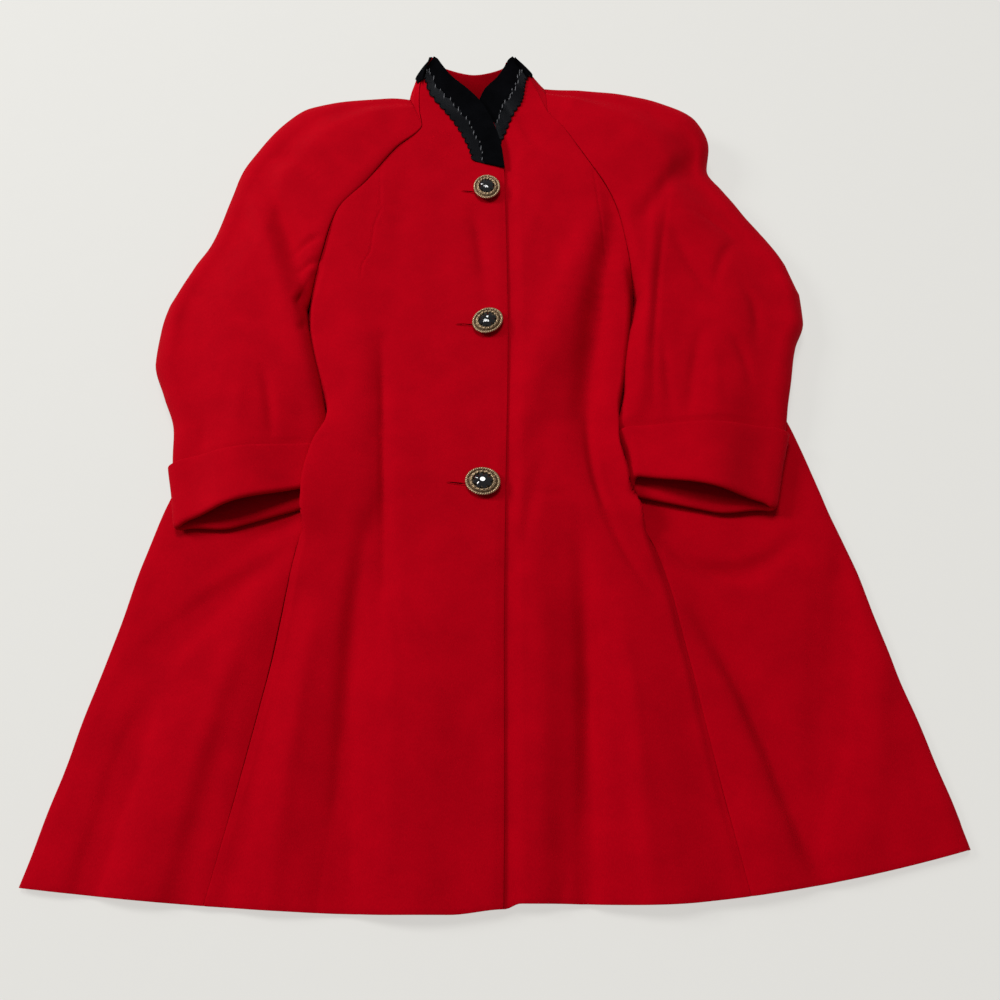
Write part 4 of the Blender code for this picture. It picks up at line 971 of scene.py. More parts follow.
# Height of a set of creases: each is a soft trough or ridge along a curve through three points,
# deepest at its middle and fading to its ends.
def creaseHeight(x, y, creases):
    total = np.zeros_like(x)
    s = np.linspace(0.0, 1.0, 13)
    for *ends, width, height in creases.values():
        pathX, pathY = curve(ends, s)
        reach = 3.0 * width
        near = ((x > pathX.min() - reach) & (x < pathX.max() + reach)
                & (y > pathY.min() - reach) & (y < pathY.max() + reach))
        ax, ay = x[near][:, None], y[near][:, None]
        dx, dy = np.diff(pathX), np.diff(pathY)
        t = np.clip(((ax - pathX[:-1]) * dx + (ay - pathY[:-1]) * dy) / (dx * dx + dy * dy), 0.0, 1.0)
        away = np.hypot(ax - pathX[:-1] - t * dx, ay - pathY[:-1] - t * dy)
        along = (np.arange(12) + t) / 12.0
        part = np.sin(math.pi * (0.03 + 0.94 * along)) * np.exp(-(away / width) ** 2)
        total[near] += height * part.max(axis=1)
    return total


# The cloth's own slight unevenness: a sum of long waves in all directions, the same every run.
def softWaves(points, amount, seed):
    dice = np.random.default_rng(seed)
    total = np.zeros(points.shape[:2])
    for length in (210.0, 150.0, 118.0, 90.0, 72.0, 57.0, 46.0, 38.0):
        for _ in range(3):
            way = dice.normal(size=3)
            way *= 2.0 * math.pi / (length * np.linalg.norm(way))
            total += np.sin(points @ way + dice.uniform(0.0, 6.3)) * length / 150.0
    return amount * total / 3.0


# Moves a grid along its facing and works the facing out again.
def displaced(points, facing, height):
    points = points + facing * height[..., None]
    return points, gridFacing(points, facing)


# The top layer's least height, how softly it is met, and the facing that counts as the top
settleLook = {"least": 5.4, "soft": 0.8, "facing": 0.35}


# Keeps the top layer clear of the layer under it.
def settled(points, facing):
    least, soft = settleLook["least"], settleLook["soft"]
    z = points[..., 2]
    eased = least + np.logaddexp(0.0, (z - least) / soft) * soft
    points[..., 2] = np.where(facing[..., 2] > settleLook["facing"], eased, z)
    return points, facing


def newPiece(name, vertices, faces, slot, smooth=True):
    mesh = bpy.data.meshes.new(name)
    vertices = np.column_stack([vertices[:, :2], np.maximum(vertices[:, 2], 0.0)])
    mesh.from_pydata(((vertices - partMiddle) * 0.001).tolist(), [], faces)
    mesh.polygons.foreach_set("use_smooth", [smooth] * len(mesh.polygons))
    mesh.materials.append(finishes[slot])
    piece = bpy.data.objects.new(name, mesh)
    scene.collection.objects.link(piece)
    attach(piece, "root")
    return piece


edgeRound = 0.3          # how far in from its cut edge a panel's face starts to turn
edgeClose = 0.24         # how far the pressed cloth at the edge swells into the seam's gap


# A cloth panel: its outer face, its inner face one wall below, and a pressed, rounded edge between
# them.
def clothShell(name, points, facing, wall, slot, held=None):
    rows, across = points.shape[:2]
    number = np.arange(rows * across).reshape(rows, across)
    quads = np.stack([number[:-1, :-1], number[:-1, 1:], number[1:, 1:], number[1:, :-1]], axis=-1)
    quads = quads.reshape(-1, 4) if held is None else quads[held]
    outer = points.reshape(-1, 3)
    facing = facing.reshape(-1, 3)
    turn = np.cross(outer[quads[:, 1]] - outer[quads[:, 0]], outer[quads[:, 3]] - outer[quads[:, 0]])
    if np.sum(turn * facing[quads[:, 0]]) < 0.0:
        quads = quads[:, ::-1]
    area = 0.5 * (np.linalg.norm(np.cross(outer[quads[:, 1]] - outer[quads[:, 0]],
                                          outer[quads[:, 2]] - outer[quads[:, 0]]), axis=1)
                  + np.linalg.norm(np.cross(outer[quads[:, 2]] - outer[quads[:, 0]],
                                            outer[quads[:, 3]] - outer[quads[:, 0]]), axis=1)).sum()
    count = len(outer)
    edges = np.concatenate([quads[:, [i, (i + 1) % 4]] for i in range(4)])
    lone = ~np.isin(edges[:, 0] * count + edges[:, 1], edges[:, 1] * count + edges[:, 0])
    rim = edges[lone]
    away = np.cross(outer[rim[:, 1]] - outer[rim[:, 0]], facing[rim[:, 0]])
    push = np.zeros_like(outer)
    np.add.at(push, rim[:, 0], away)
    np.add.at(push, rim[:, 1], away)
    push /= np.maximum(np.linalg.norm(push, axis=1, keepdims=True), 1e-9)
    half = wall / 2.0
    inset = outer - push * edgeRound
    used = np.unique(rim)
    place = np.zeros(count, int)
    place[used] = np.arange(len(used))
    layers = [inset, inset - facing * wall]
    for deep, out in ((0.16, 0.85), (1.0, 1.0), (1.84, 0.85)):
        layers.append(inset[used] - facing[used] * half * deep
                      + push[used] * (edgeRound + edgeClose) * out)
    starts = np.cumsum([0] + [len(layer) for layer in layers])
    ladder = [rim, starts[2] + place[rim], starts[3] + place[rim], starts[4] + place[rim], count + rim]
    faces = [quads, quads[:, ::-1] + count]
    for high, low in zip(ladder[:-1], ladder[1:]):
        faces.append(np.column_stack([high[:, 1], high[:, 0], low[:, 0], low[:, 1]]))
    faces = np.concatenate(faces)
    kept, index = np.unique(faces, return_inverse=True)
    piece = newPiece(name, np.concatenate(layers)[kept], index.reshape(faces.shape).tolist(), slot)
    piece["clothArea"] = area * 1e-6
    return piece


# A skin over rings of points. It closes along too, or else its two ends are filled.
def ringSkin(name, rings, slot, closed=True, smooth=True):
    rows, around = rings.shape[:2]
    number = np.arange(rows * around).reshape(rows, around)
    low, high = (number, np.roll(number, -1, axis=0)) if closed else (number[:-1], number[1:])
    faces = np.stack([low, np.roll(low, -1, axis=1), np.roll(high, -1, axis=1), high], axis=-1)
    faces = faces.reshape(-1, 4)
    ends = [] if closed else [number[0][::-1].tolist(), number[-1].tolist()]
    flat = rings.reshape(-1, 3)
    a, b, c, d = [flat[faces[:, i]] - flat.mean(axis=0) for i in range(4)]
    if np.sum(a * (np.cross(b, c) + np.cross(c, d))) < 0.0:
        faces = faces[:, ::-1]
        ends = [end[::-1] for end in ends]
    return newPiece(name, flat, faces.tolist() + ends, slot, smooth)


# Works out the lengths of a panel's cells across and along it; nothing is done with them.
def laidCloth(points, held=None):
    across = np.linalg.norm(np.diff(points, axis=1), axis=2)
    along = np.linalg.norm(np.diff(points, axis=0), axis=2)
    if held is not None:
        across = across[:-1] * held
        along = along[:, :-1] * held


# Makes a panel of cloth that lies on other pieces and takes the place of a node.
def panel(node, name, points, facing, wall, slot, held=None):
    piece = clothShell(name, points, facing, wall, slot, held)
    laidCloth(points, held)
    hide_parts(node)
    return piece


# Adds a shader node, sets its options, and links or sets its inputs.
def shaderNode(tree, kind, inputs=None, **options):
    node = tree.nodes.new(kind)
    for name, value in options.items():
        setattr(node, name, value)
    for name, value in (inputs or {}).items():
        if isinstance(value, bpy.types.NodeSocket):
            tree.links.new(value, node.inputs[name])
        else:
            node.inputs[name].default_value = value
    node.location = (180 * len(tree.nodes), -60 * (len(tree.nodes) % 5))
    return node


def mathOf(tree, operation, first, second):
    return shaderNode(tree, "ShaderNodeMath", {0: first, 1: second}, operation=operation).outputs[0]


def noise(tree, vector, scale, detail=3.0, rough=0.6):
    node = shaderNode(tree, "ShaderNodeTexNoise",
                      {"Vector": vector, "Scale": scale, "Detail": detail, "Roughness": rough})
    return node.outputs["Fac"]


# Short fibres: fine noise drawn out in crossing directions, with a broader mottle under it. It puts
# out the fibres' height, and masks for the tips and for the mottle.
def fibreGroup():
    group = bpy.data.node_groups.new("fibres", "ShaderNodeTree")
    face = group.interface
    face.new_socket("Vector", in_out="INPUT", socket_type="NodeSocketVector")
    face.new_socket("Fineness", in_out="INPUT", socket_type="NodeSocketFloat")
    for name in ("Height", "Tips", "Mottle"):
        face.new_socket(name, in_out="OUTPUT", socket_type="NodeSocketFloat")
    source = group.nodes.new("NodeGroupInput")
    out = group.nodes.new("NodeGroupOutput")
    vector, fine = source.outputs["Vector"], source.outputs["Fineness"]
    lean = []
    for turn, stretch in ((0.5, 0.28), (-0.7, 0.34), (1.9, 0.4)):
        mapped = shaderNode(group, "ShaderNodeMapping", {"Vector": vector, "Rotation": (0.3, 0.2, turn),
                                                         "Scale": (1.0, stretch, 1.0)})
        lean.append(noise(group, mapped.outputs[0], fine, 2.0))
    fibres = mathOf(group, "ADD", mathOf(group, "ADD", lean[0], lean[1]), lean[2])
    fibres = mathOf(group, "MULTIPLY", fibres, 0.3333)
    clumps = noise(group, vector, mathOf(group, "MULTIPLY", fine, 0.22), 3.0)
    height = mathOf(group, "ADD", fibres, mathOf(group, "MULTIPLY", clumps, 0.6))
    tips = shaderNode(group, "ShaderNodeMapRange",
                      {"Value": fibres, "From Min": 0.42, "From Max": 0.66}).outputs[0]
    broad = noise(group, vector, mathOf(group, "MULTIPLY", fine, 0.02), 4.0)
    mottle = shaderNode(group, "ShaderNodeMapRange",
                        {"Value": broad, "From Min": 0.3, "From Max": 0.7}).outputs[0]
    for name, value in (("Height", height), ("Tips", tips), ("Mottle", mottle)):
        group.links.new(value, out.inputs[name])
    return group


def newFinish(name):
    finish = bpy.data.materials.new(name)
    finish.use_nodes = True
    finish.node_tree.nodes.clear()
    tree = finish.node_tree
    coords = shaderNode(tree, "ShaderNodeTexCoord").outputs["Object"]
    shader = shaderNode(tree, "ShaderNodeBsdfPrincipled")
    out = shaderNode(tree, "ShaderNodeOutputMaterial")
    tree.links.new(shader.outputs[0], out.inputs["Surface"])
    return finish, tree, coords, shader


def mixed(tree, factor, first, second):
    node = shaderNode(tree, "ShaderNodeMix", data_type="RGBA")
    tree.links.new(factor, node.inputs[0])
    node.inputs[6].default_value = (*first, 1.0)
    node.inputs[7].default_value = (*second, 1.0)
    return node.outputs[2]


def stepped(tree, value, low, high, toLow=0.0, toHigh=1.0):
    return shaderNode(tree, "ShaderNodeMapRange",
                      {"Value": value, "From Min": low, "From Max": high, "To Min": toLow,
                       "To Max": toHigh}).outputs[0]


# Each cloth's lit colour is painted light on the fibre tips and its deep colour painted shade between
# them; a random mottle also mixes the two.
woolLook = {"deep": (0.315, 0.0002, 0.0050), "lit": (0.435, 0.0004, 0.0066), "fineness": 1500.0,
            "bump": 0.00018, "sheen": 0.12, "sheenTint": (1.0, 0.0, 0.03, 1.0),
            "shine": 0.1, "shineTint": (1.0, 0.01, 0.05, 1.0)}
velvetLook = {"deep": (0.0010, 0.0010, 0.0012), "lit": (0.0034, 0.0035, 0.0044), "fineness": 2600.0,
              "bump": 0.0003, "sheen": 0.012, "sheenTint": (0.62, 0.68, 0.85, 1.0),
              "shine": 0.0, "shineTint": (1.0, 1.0, 1.0, 1.0)}
braidLook = {"deep": (0.0014, 0.0014, 0.0018), "lit": (0.0045, 0.0045, 0.006), "fineness": 3200.0,
             "bump": 0.00015, "sheen": 0.0, "sheenTint": (0.8, 0.85, 1.0, 1.0),
             "shine": 0.03, "shineTint": (0.85, 0.92, 1.0, 1.0)}

threadLook = {"deep": (0.05, 0.052, 0.058), "lit": (0.16, 0.165, 0.18), "fineness": 5000.0,
              "bump": 0.0001, "sheen": 0.0, "sheenTint": (1.0, 1.0, 1.0, 1.0),
              "shine": 0.5, "shineTint": (1.0, 1.0, 1.0, 1.0)}
# The buttonhole slit's colours: a very dark red, painted shade inside the opening.
slitShadeLook = {"deep": (0.010, 0.0, 0.0002), "lit": (0.028, 0.0, 0.0005), "fineness": 2000.0,
            "bump": 0.0001, "sheen": 0.0, "sheenTint": (1.0, 0.0, 0.0, 1.0),
            "shine": 0.0, "shineTint": (1.0, 0.0, 0.0, 1.0)}


# A brushed cloth: painted light on the fibre tips and painted shade in the depth between them, over a
# broad mottle of tone; sheen at glancing angles, and the nap's fine relief.
def clothFinish(name, look, rough):
    finish, tree, coords, shader = newFinish(name)
    fibres = shaderNode(tree, "ShaderNodeGroup", node_tree=fibreTree)
    tree.links.new(coords, fibres.inputs["Vector"])
    fibres.inputs["Fineness"].default_value = look["fineness"]
    tipLightShadeAndMottle = mathOf(tree, "ADD", mathOf(tree, "MULTIPLY", fibres.outputs["Tips"], 0.62),
                   mathOf(tree, "MULTIPLY", fibres.outputs["Mottle"], 0.38))
    tree.links.new(mixed(tree, tipLightShadeAndMottle, look["deep"], look["lit"]), shader.inputs["Base Color"])
    tree.links.new(stepped(tree, fibres.outputs["Tips"], 0.0, 1.0, rough, rough - 0.12),
                   shader.inputs["Roughness"])
    relief = shaderNode(tree, "ShaderNodeBump", {"Height": fibres.outputs["Height"], "Strength": 0.8,
                                                 "Distance": look["bump"]})
    tree.links.new(relief.outputs[0], shader.inputs["Normal"])
    shader.inputs["Sheen Weight"].default_value = look["sheen"]
    shader.inputs["Sheen Roughness"].default_value = 0.5
    shader.inputs["Sheen Tint"].default_value = look["sheenTint"]
    shader.inputs["Specular IOR Level"].default_value = look["shine"]
    shader.inputs["Specular Tint"].default_value = look["shineTint"]
    return finish


# Old brass: pale and rubbed where it stands proud, brown in the hollows.
def brassFinish():
    finish, tree, coords, shader = newFinish("antiqueBrass")
    hollow = shaderNode(tree, "ShaderNodeNewGeometry").outputs["Pointiness"]
    rubbed = stepped(tree, hollow, 0.44, 0.56)
    tarnish = stepped(tree, noise(tree, coords, 900.0), 0.35, 0.68)
    worn = mathOf(tree, "ADD", mathOf(tree, "MULTIPLY", tarnish, 0.5), 0.5)
    mask = mathOf(tree, "MULTIPLY", rubbed, worn)
    tree.links.new(mixed(tree, mask, (0.045, 0.026, 0.014), (0.60, 0.43, 0.26)),
                   shader.inputs["Base Color"])
    tree.links.new(stepped(tree, mask, 0.0, 1.0, 0.62, 0.3), shader.inputs["Roughness"])
    relief = shaderNode(tree, "ShaderNodeBump", {"Height": noise(tree, coords, 2200.0), "Strength": 0.4,
                                                 "Distance": 0.0001})
    tree.links.new(relief.outputs[0], shader.inputs["Normal"])
    shader.inputs["Metallic"].default_value = 0.9
    return finish


# Opaque black glass with a clean polish and the faintest dust.
def glassFinish():
    finish, tree, coords, shader = newFinish("blackGlass")
    dust = stepped(tree, noise(tree, coords, 1400.0), 0.55, 0.8)
    tree.links.new(mixed(tree, dust, (0.002, 0.002, 0.003), (0.012, 0.012, 0.014)),
                   shader.inputs["Base Color"])
    tree.links.new(stepped(tree, dust, 0.0, 1.0, 0.03, 0.16), shader.inputs["Roughness"])
    shader.inputs["Specular IOR Level"].default_value = 0.8
    return finish


fibreTree = fibreGroup()
finishes = {"antiqueBrass": brassFinish(), "blackGlass": glassFinish()}
finishes["redWool"] = clothFinish("redWool", woolLook, 0.98)
finishes["blackVelvet"] = clothFinish("blackVelvet", velvetLook, 0.9)
finishes["blackBraid"] = clothFinish("blackBraid", braidLook, 0.42)
finishes["greyThread"] = clothFinish("greyThread", threadLook, 0.5)
finishes["paintedSlitShade"] = clothFinish("paintedSlitShade", slitShadeLook, 1.0)
print("materials made")


# Soft troughs (below 0) and ridges on the fronts and side flaps: three points, half width, height
bodyCreases = {
    "left waist line": (-133, 90, -123, -74, -117, -216, 3.6, -3.4),
    "left waist end": (-119, -169, -104, -229, -93, -262, 4, -1.8),
    "left skirt trough": (-130, -112, -146, -270, -136, -580, 11, -6.5),
    "left seam trough": (-204, -190, -226, -329, -250, -560, 18, -9.5),
    "far left hem trough": (-335, -290, -356, -402, -380, -560, 12, -6.5),
    "right skirt trough": (81, -130, 86, -311, 72, -580, 10, -8.0),
    "beside the lowest button": (46, -56, 30, -119, 16, -190, 9, -2.6),
    "flank trough": (143, 272, 109, 130, 97, -20, 10, -3.4),
    "flank's edge": (98, 16, 106, -105, 158, -212, 5, -3.6),
    "right diagonal trough": (186, -212, 249, -329, 296, -520, 11, -7.0),
    "right flap trough": (355, -140, 327, -309, 274, -440, 12, -8.5),
    "under right cuff": (160, -132, 231, -181, 312, -136, 9, -6.5),
    "under left cuff": (-200, -148, -289, -208, -352, -276, 11, -4.6),
    "chest ridge": (126, 292, 51, 99, 8, -62, 17, 4.4),
    "second chest ridge": (60, 300, 34, 240, 22, 170, 11, 1.6),
    "flap ridge": (386, -200, 362, -330, 322, -470, 14, 2.6),
    "beside the collar": (22, 412, 34, 388, 50, 362, 8, -2.4),
    "placket fold": (-34, 268, -24, 225, -20, 172, 6, -1.9),
    "placket draw 1": (22, 120, 40, 100, 64, 96, 6, -1.3),
    "placket draw 2": (20, -84, 44, -100, 78, -96, 6, -1.4),
    "left chest slope": (-110, 330, -120, 270, -116, 190, 13, -1.8),
    "right skirt ridge": (112, -200, 128, -340, 132, -560, 10, 2.6),
    "left skirt ridge": (-186, -220, -196, -350, -206, -560, 10, 2.2),
    "left panel ridge": (-100, -150, -104, -300, -96, -540, 10, 1.6),
    "left flap ridge": (-252, -230, -280, -350, -308, -540, 12, 3.4),
    "middle skirt ridge": (36, -170, 40, -320, 34, -560, 12, 1.8),
}
rightSleeveCreases = {
    "shoulder dent": (-300, 356, -252, 234, -214, 120, 13, -9.5),
    "sleeve's fold": (-322, 330, -272, 216, -222, 60, 10, 3.6),
    "shoulder patch": (-278, 366, -250, 340, -218, 306, 12, -7.0),
    "armpit 1": (-243, 209, -226, 220, -210, 226, 4.5, -3.9),
    "armpit 2": (-236, 180, -221, 190, -206, 193, 4.5, -4.2),
    "armpit 3": (-234, 136, -222, 150, -208, 166, 4.5, -4.5),
    "armpit 4": (-227, 102, -218, 114, -212, 134, 4.5, -3.6),
    "crease to the cuff": (-264, 60, -250, 6, -243, -38, 6, -3.0),
    "elbow trough": (-330, 150, -300, 120, -262, 116, 9, -1.8),
    "cuff trough": (-330, -4, -318, -30, -322, -56, 7, -1.8),
    "outer ridge": (-360, 200, -372, 130, -362, 60, 9, 2.0),
    "above the cuff": (-352, -66, -274, -51, -190, -34, 3.4, -3.4),
    "forearm ridge": (-290, 60, -282, 10, -286, -40, 9, 1.6),
}
leftSleeveCreases = {
    "shoulder valley": (252, 368, 205, 312, 162, 240, 11, -5.0),
    "seam line": (206, 306, 179, 139, 166, -8, 2.8, -1.8),
    "seam ridge": (191, 312, 169, 139, 149, -12, 6, 2.6),
    "upper trough": (224, 271, 254, 260, 286, 228, 6, -2.6),
    "upper trough 2": (280, 230, 260, 199, 247, 154, 6, -2.4),
    "long trough": (203, 256, 222, 193, 254, 132, 8, -2.4),
    "elbow trough": (281, 166, 293, 125, 286, 84, 7, -2.8),
    "forearm trough": (228, 104, 213, 44, 203, -16, 7, -2.6),
    "forearm trough 2": (255, 103, 271, 68, 276, 24, 6, -2.2),
    "cuff trough": (182, 104, 184, 44, 186, -16, 5, -1.9),
    "outer ridge": (318, 250, 332, 200, 340, 150, 9, 2.0),
    "above the cuff": (128, -20, 214, -17, 310, -15, 3.4, -3.4),
    "dimple in the cuff": (198, -48, 206, -62, 216, -74, 9, -3.6),
    "forearm ridge": (240, 96, 236, 40, 232, -10, 8, 1.6),
}
backCreases = {
    "shoulder trough": (-120, 340, -60, 290, -90, 200, 10, -1.5),
    "blade trough": (110, 330, 70, 250, 96, 150, 12, -1.7),
    "waist trough": (-60, 60, 0, 20, 70, 44, 9, -1.2),
    "skirt trough 1": (-190, -120, -214, -280, -236, -470, 14, -1.8),
    "skirt trough 2": (60, -150, 74, -300, 66, -470, 12, -1.4),
    "skirt trough 3": (220, -200, 246, -330, 268, -460, 13, -1.6),
}

waveLook = {"body": 0.9, "sleeve": 1.0}
dartLook = {"depth": 0.2, "width": 1.8, "swell": 0.25, "swellWidth": 9.0, "fadeIn": 30.0,
            "fadeOut": 12.0, "close": 5.0, "closeWidth": 5.0}


# A bust dart: a narrow groove along its line with a slight swell beside it, fading at both ends.
def dartHeight(side, x, y):
    line = dartLines[side]
    away = x - read(line, "x", y)
    start, end = line["y"][0], line["y"][-1]
    fade = ease((y - start) / dartLook["fadeIn"]) * ease((end - y) / dartLook["fadeOut"])
    swell = dartLook["swell"] * np.exp(-(away / dartLook["swellWidth"]) ** 2)
    groove = (dartLook["depth"] + dartLook["swell"]) * np.exp(-(away / dartLook["width"]) ** 2)
    return fade * (swell - groove)


# What the creases, the dart and the cloth's unevenness add to a front's height.
def frontLift(side, x, y, z):
    flat = np.stack([x, y, z], axis=-1).reshape(1, -1, 3)
    total = softWaves(flat, waveLook["body"], 3).reshape(x.shape) + dartHeight(side, x, y)
    return total + creaseHeight(x.ravel(), y.ravel(), bodyCreases).reshape(x.shape)


# How much a crease counts: in full where the cloth faces up, and not at all on its sides.
def upward(facing):
    return np.clip((facing[..., 2] - 0.15) / 0.45, 0.0, 1.0)


rings = lowerRings()
backPoints, backRough, backHeld, floorFrom = backGrid(rings)
facing = gridFacing(backPoints, backRough)
facing[len(rings):] = backRough[len(rings):]
x, y = backPoints[..., 0], backPoints[..., 1]
height = creaseHeight(x, y, bodyCreases) * upward(facing)
height += creaseHeight(x, y, backCreases) * np.clip(-facing[..., 2] * 2.0 - 1.0, 0.0, 1.0)
lift = np.clip(facing[..., 2] + 0.6, 0.0, 1.0)
height += softWaves(backPoints, waveLook["body"], 3) * lift
backPoints = backPoints + facing * height[..., None]
backPoints[..., 2] = np.maximum(backPoints[..., 2], 0.0)
backPoints, facing = settled(backPoints, facing)
back = panel("back", "backPanel", backPoints, facing, woolWall, "redWool", backHeld)
print("back made")

# The right front's edge is pressed down on the left front, up to where the collar begins.
edgePress = {"depth": 1.3, "width": 6.0, "upTo": 360.0, "fade": 40.0}

for side in ("right", "left"):
    points, rough = frontGrid(side, rings)
    facing = gridFacing(points, rough)
    x, y = points[..., 0], points[..., 1]
    height = frontLift(side, x, y, points[..., 2])
    if side == "right":
        near = np.exp(-((x - read(middleLine, "edge", y)) / edgePress["width"]) ** 2)
        height -= edgePress["depth"] * near * ease((edgePress["upTo"] - y) / edgePress["fade"])
    points, facing = settled(*displaced(points, facing, height * upward(facing)))
    panel("front_" + side, "%sFront" % side, points, facing, woolWall, "redWool")
print("fronts made")

sleeveEdges = {}
for side in ("right", "left"):
    points, rough, held, places = sleeveGrid(side)
    facing = gridFacing(points, rough)
    creases = rightSleeveCreases if side == "right" else leftSleeveCreases
    height = creaseHeight(points[..., 0], points[..., 1], creases)
    height += softWaves(points, waveLook["sleeve"], 7)
    calm = ease((mouthRow - 0.2 - places) / 1.4)[:, None]
    points, facing = displaced(points, facing, height * upward(facing) * calm)
    first = cells["sleeveAcross"][0]
    sleeveEdges[side] = points[0, first:]
    sleeve = panel("sleeve_" + side, "%sSleeve" % side, points, facing, woolWall, "redWool",
                   held)
    skin = np.array([tubeRing(side, row, offset) for row, offset in cuffProfile()])
    cuff = ringSkin("%sCuff" % side, skin, "redWool")
    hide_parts("cuff_" + side)
print("sleeves and cuffs made")

floorSlice = slice(floorFrom, floorFrom + cells["backFloor"] + 1)
collarPoints, collarRough, band = collarGrid(backPoints[-1, floorSlice], sleeveEdges)
collarFacing = gridFacing(collarPoints, collarRough)
collar = panel("collar_back", "collarStand", collarPoints, collarFacing, woolWall, "redWool")

# Velvet bands and braid. Lifts are of the outer face over the cloth.
bandLook = {"velvetOver": 2.3, "braidOver": 1.5, "along": 256}

# The back's band: its lift off the collar, how far it runs on over the seam to meet the fronts'
# bands, and how much narrower it is there, over how many cells
backBand = {"lift": 1.8, "onward": 6.5, "narrower": 0.3, "cells": 5.0}
band = band[:, 1:-1].copy()
for end, beside in ((0, 1), (-1, -2)):
    onward = band[:, end] - band[:, beside]
    band[:, end] += onward / np.linalg.norm(onward, axis=1)[:, None] * backBand["onward"]
fromEnd = np.minimum(np.arange(band.shape[1]), np.arange(band.shape[1])[::-1])
height = band[-1] - band[0]
upright = np.sign(height[:, 2].mean())
toTop = np.linspace(*((1.0, 0.0) if upright > 0 else (0.0, 1.0)), band.shape[0])
nearEnd = np.clip(1.0 - fromEnd / backBand["cells"], 0.0, 1.0)
band += upright * height * (backBand["narrower"] * toTop[:, None] * nearEnd)[..., None]
bandFacing = gridFacing(band, band - collarMiddle)
velvet = clothShell("collarVelvet", band + bandFacing * backBand["lift"], bandFacing, velvetWall,
                    "blackVelvet")
laidCloth(band)
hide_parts("velvet_back")


# A strip along the neck edge between two edges that run along it, lifted off the cloth.
def bandStrip(side, first, last, lift, across):
    table = bandEdges[side]
    along = np.linspace(0.0, 1.0, bandLook["along"] + 1)
    row = along * (len(table["topX"]) - 1)
    top = np.stack([rowValue(table, "topX", row), rowValue(table, "topY", row)], axis=1)
    low = np.stack([rowValue(table, "lowX", row), rowValue(table, "lowY", row)], axis=1)
    width = np.linalg.norm(top - low, axis=1)
    t = np.linspace(0.0, 1.0, across)[:, None]
    share = first(along, width) * (1.0 - t) + last(along, width) * t
    x = low[:, 0] + (top[:, 0] - low[:, 0]) * share
    y = low[:, 1] + (top[:, 1] - low[:, 1]) * share
    return np.stack([x, y, bandSurface(side, x, y) + lift], axis=-1)


# The edges of the band's two cloths, as shares of its width from its lower edge to the neck edge.
def scallopEdge(along, width):
    return -scallopDepth / width * np.abs(np.sin(math.pi * scallopCount * along)) ** 0.7


def toothEdge(along, width):
    uneven = along + 0.012 * np.sin(along * 37.0)
    wave = np.abs((uneven * toothCount) % 1.0 - 0.5) * 2.0
    return braidShare + toothDepth * 1.5 * (wave - 0.5)


def topEdge(along, width):
    return 1.0 + 0.7 / width


for side in ("right", "left"):
    points = bandStrip(side, toothEdge, topEdge, bandLook["velvetOver"], 16)
    upright = np.tile([0.0, 0.0, 1.0], points.shape[:2] + (1,))
    facing = gridFacing(points, upright)
    panel("velvet_" + side, "%sVelvet" % side, points, facing, velvetWall, "blackVelvet")
    points = bandStrip(side, scallopEdge, lambda a, w: toothEdge(a, w) + 0.12, bandLook["braidOver"], 9)
    facing = gridFacing(points, upright[:9])
    panel("braid_" + side, "%sBraid" % side, points, facing, braidWall, "blackBraid")


# A tube along a path, closed in a ring or with its ends drawn to a point. Its radius may vary round
# and along, and it may wind like a cord.
def tubeAlong(path, radius, sides=8, closed=False, winds=0.0, depth=0.0):
    if closed:
        run = np.roll(path, -1, axis=0) - np.roll(path, 1, axis=0)
    else:
        run = np.gradient(path, axis=0)
    run /= np.linalg.norm(run, axis=1, keepdims=True)
    sideways = np.cross(run, [0.0, 0.0, 1.0])
    sideways /= np.linalg.norm(sideways, axis=1, keepdims=True)
    rising = np.cross(sideways, run)
    turn = np.linspace(0.0, 2.0 * math.pi, sides, endpoint=False)
    along = np.linspace(0.0, 2.0 * math.pi, len(path), endpoint=not closed)[:, None]
    size = np.broadcast_to(np.asarray(radius, float), (len(path),))[:, None]
    size = size * (1.0 + depth * np.cos(2.0 * turn - winds * along))
    return (path[:, None] + sideways[:, None] * (size * np.cos(turn))[..., None]
            + rising[:, None] * (size * np.sin(turn))[..., None])


# One mesh of several tubes, each closed at its ends.
def manyTubes(name, tubes, slot, closed=False):
    vertices, faces, start = [], [], 0
    for rings in tubes:
        rows, around = rings.shape[:2]
        number = np.arange(rows * around).reshape(rows, around) + start
        low, high = (number, np.roll(number, -1, axis=0)) if closed else (number[:-1], number[1:])
        quads = np.stack([low, high, np.roll(high, -1, axis=1), np.roll(low, -1, axis=1)], axis=-1)
        faces += quads.reshape(-1, 4).tolist()
        if not closed:
            faces += [number[0].tolist(), number[-1][::-1].tolist()]
        vertices.append(rings.reshape(-1, 3))
        start += rows * around
    piece = newPiece(name, np.concatenate(vertices), faces, slot)
    bm = bmesh.new()
    bm.from_mesh(piece.data)
    bmesh.ops.recalc_face_normals(bm, faces=bm.faces)
    bm.to_mesh(piece.data)
    bm.free()
    return piece


# Short stitches, each a thread that rises out of the cloth and dips back in.
def stitches(name, starts, ends, rise, thick, slot):
    t = np.linspace(0.0, 1.0, 6)[:, None]
    tubes = []
    for start, end in zip(starts, ends):
        path = start + (end - start) * t
        path[:, 2] += rise * np.sin(math.pi * t[:, 0]) - 0.35 * thick
        tubes.append(tubeAlong(path, thick * (0.55 + 0.45 * np.sin(math.pi * t[:, 0])), 5))
    return manyTubes(name, tubes, slot)


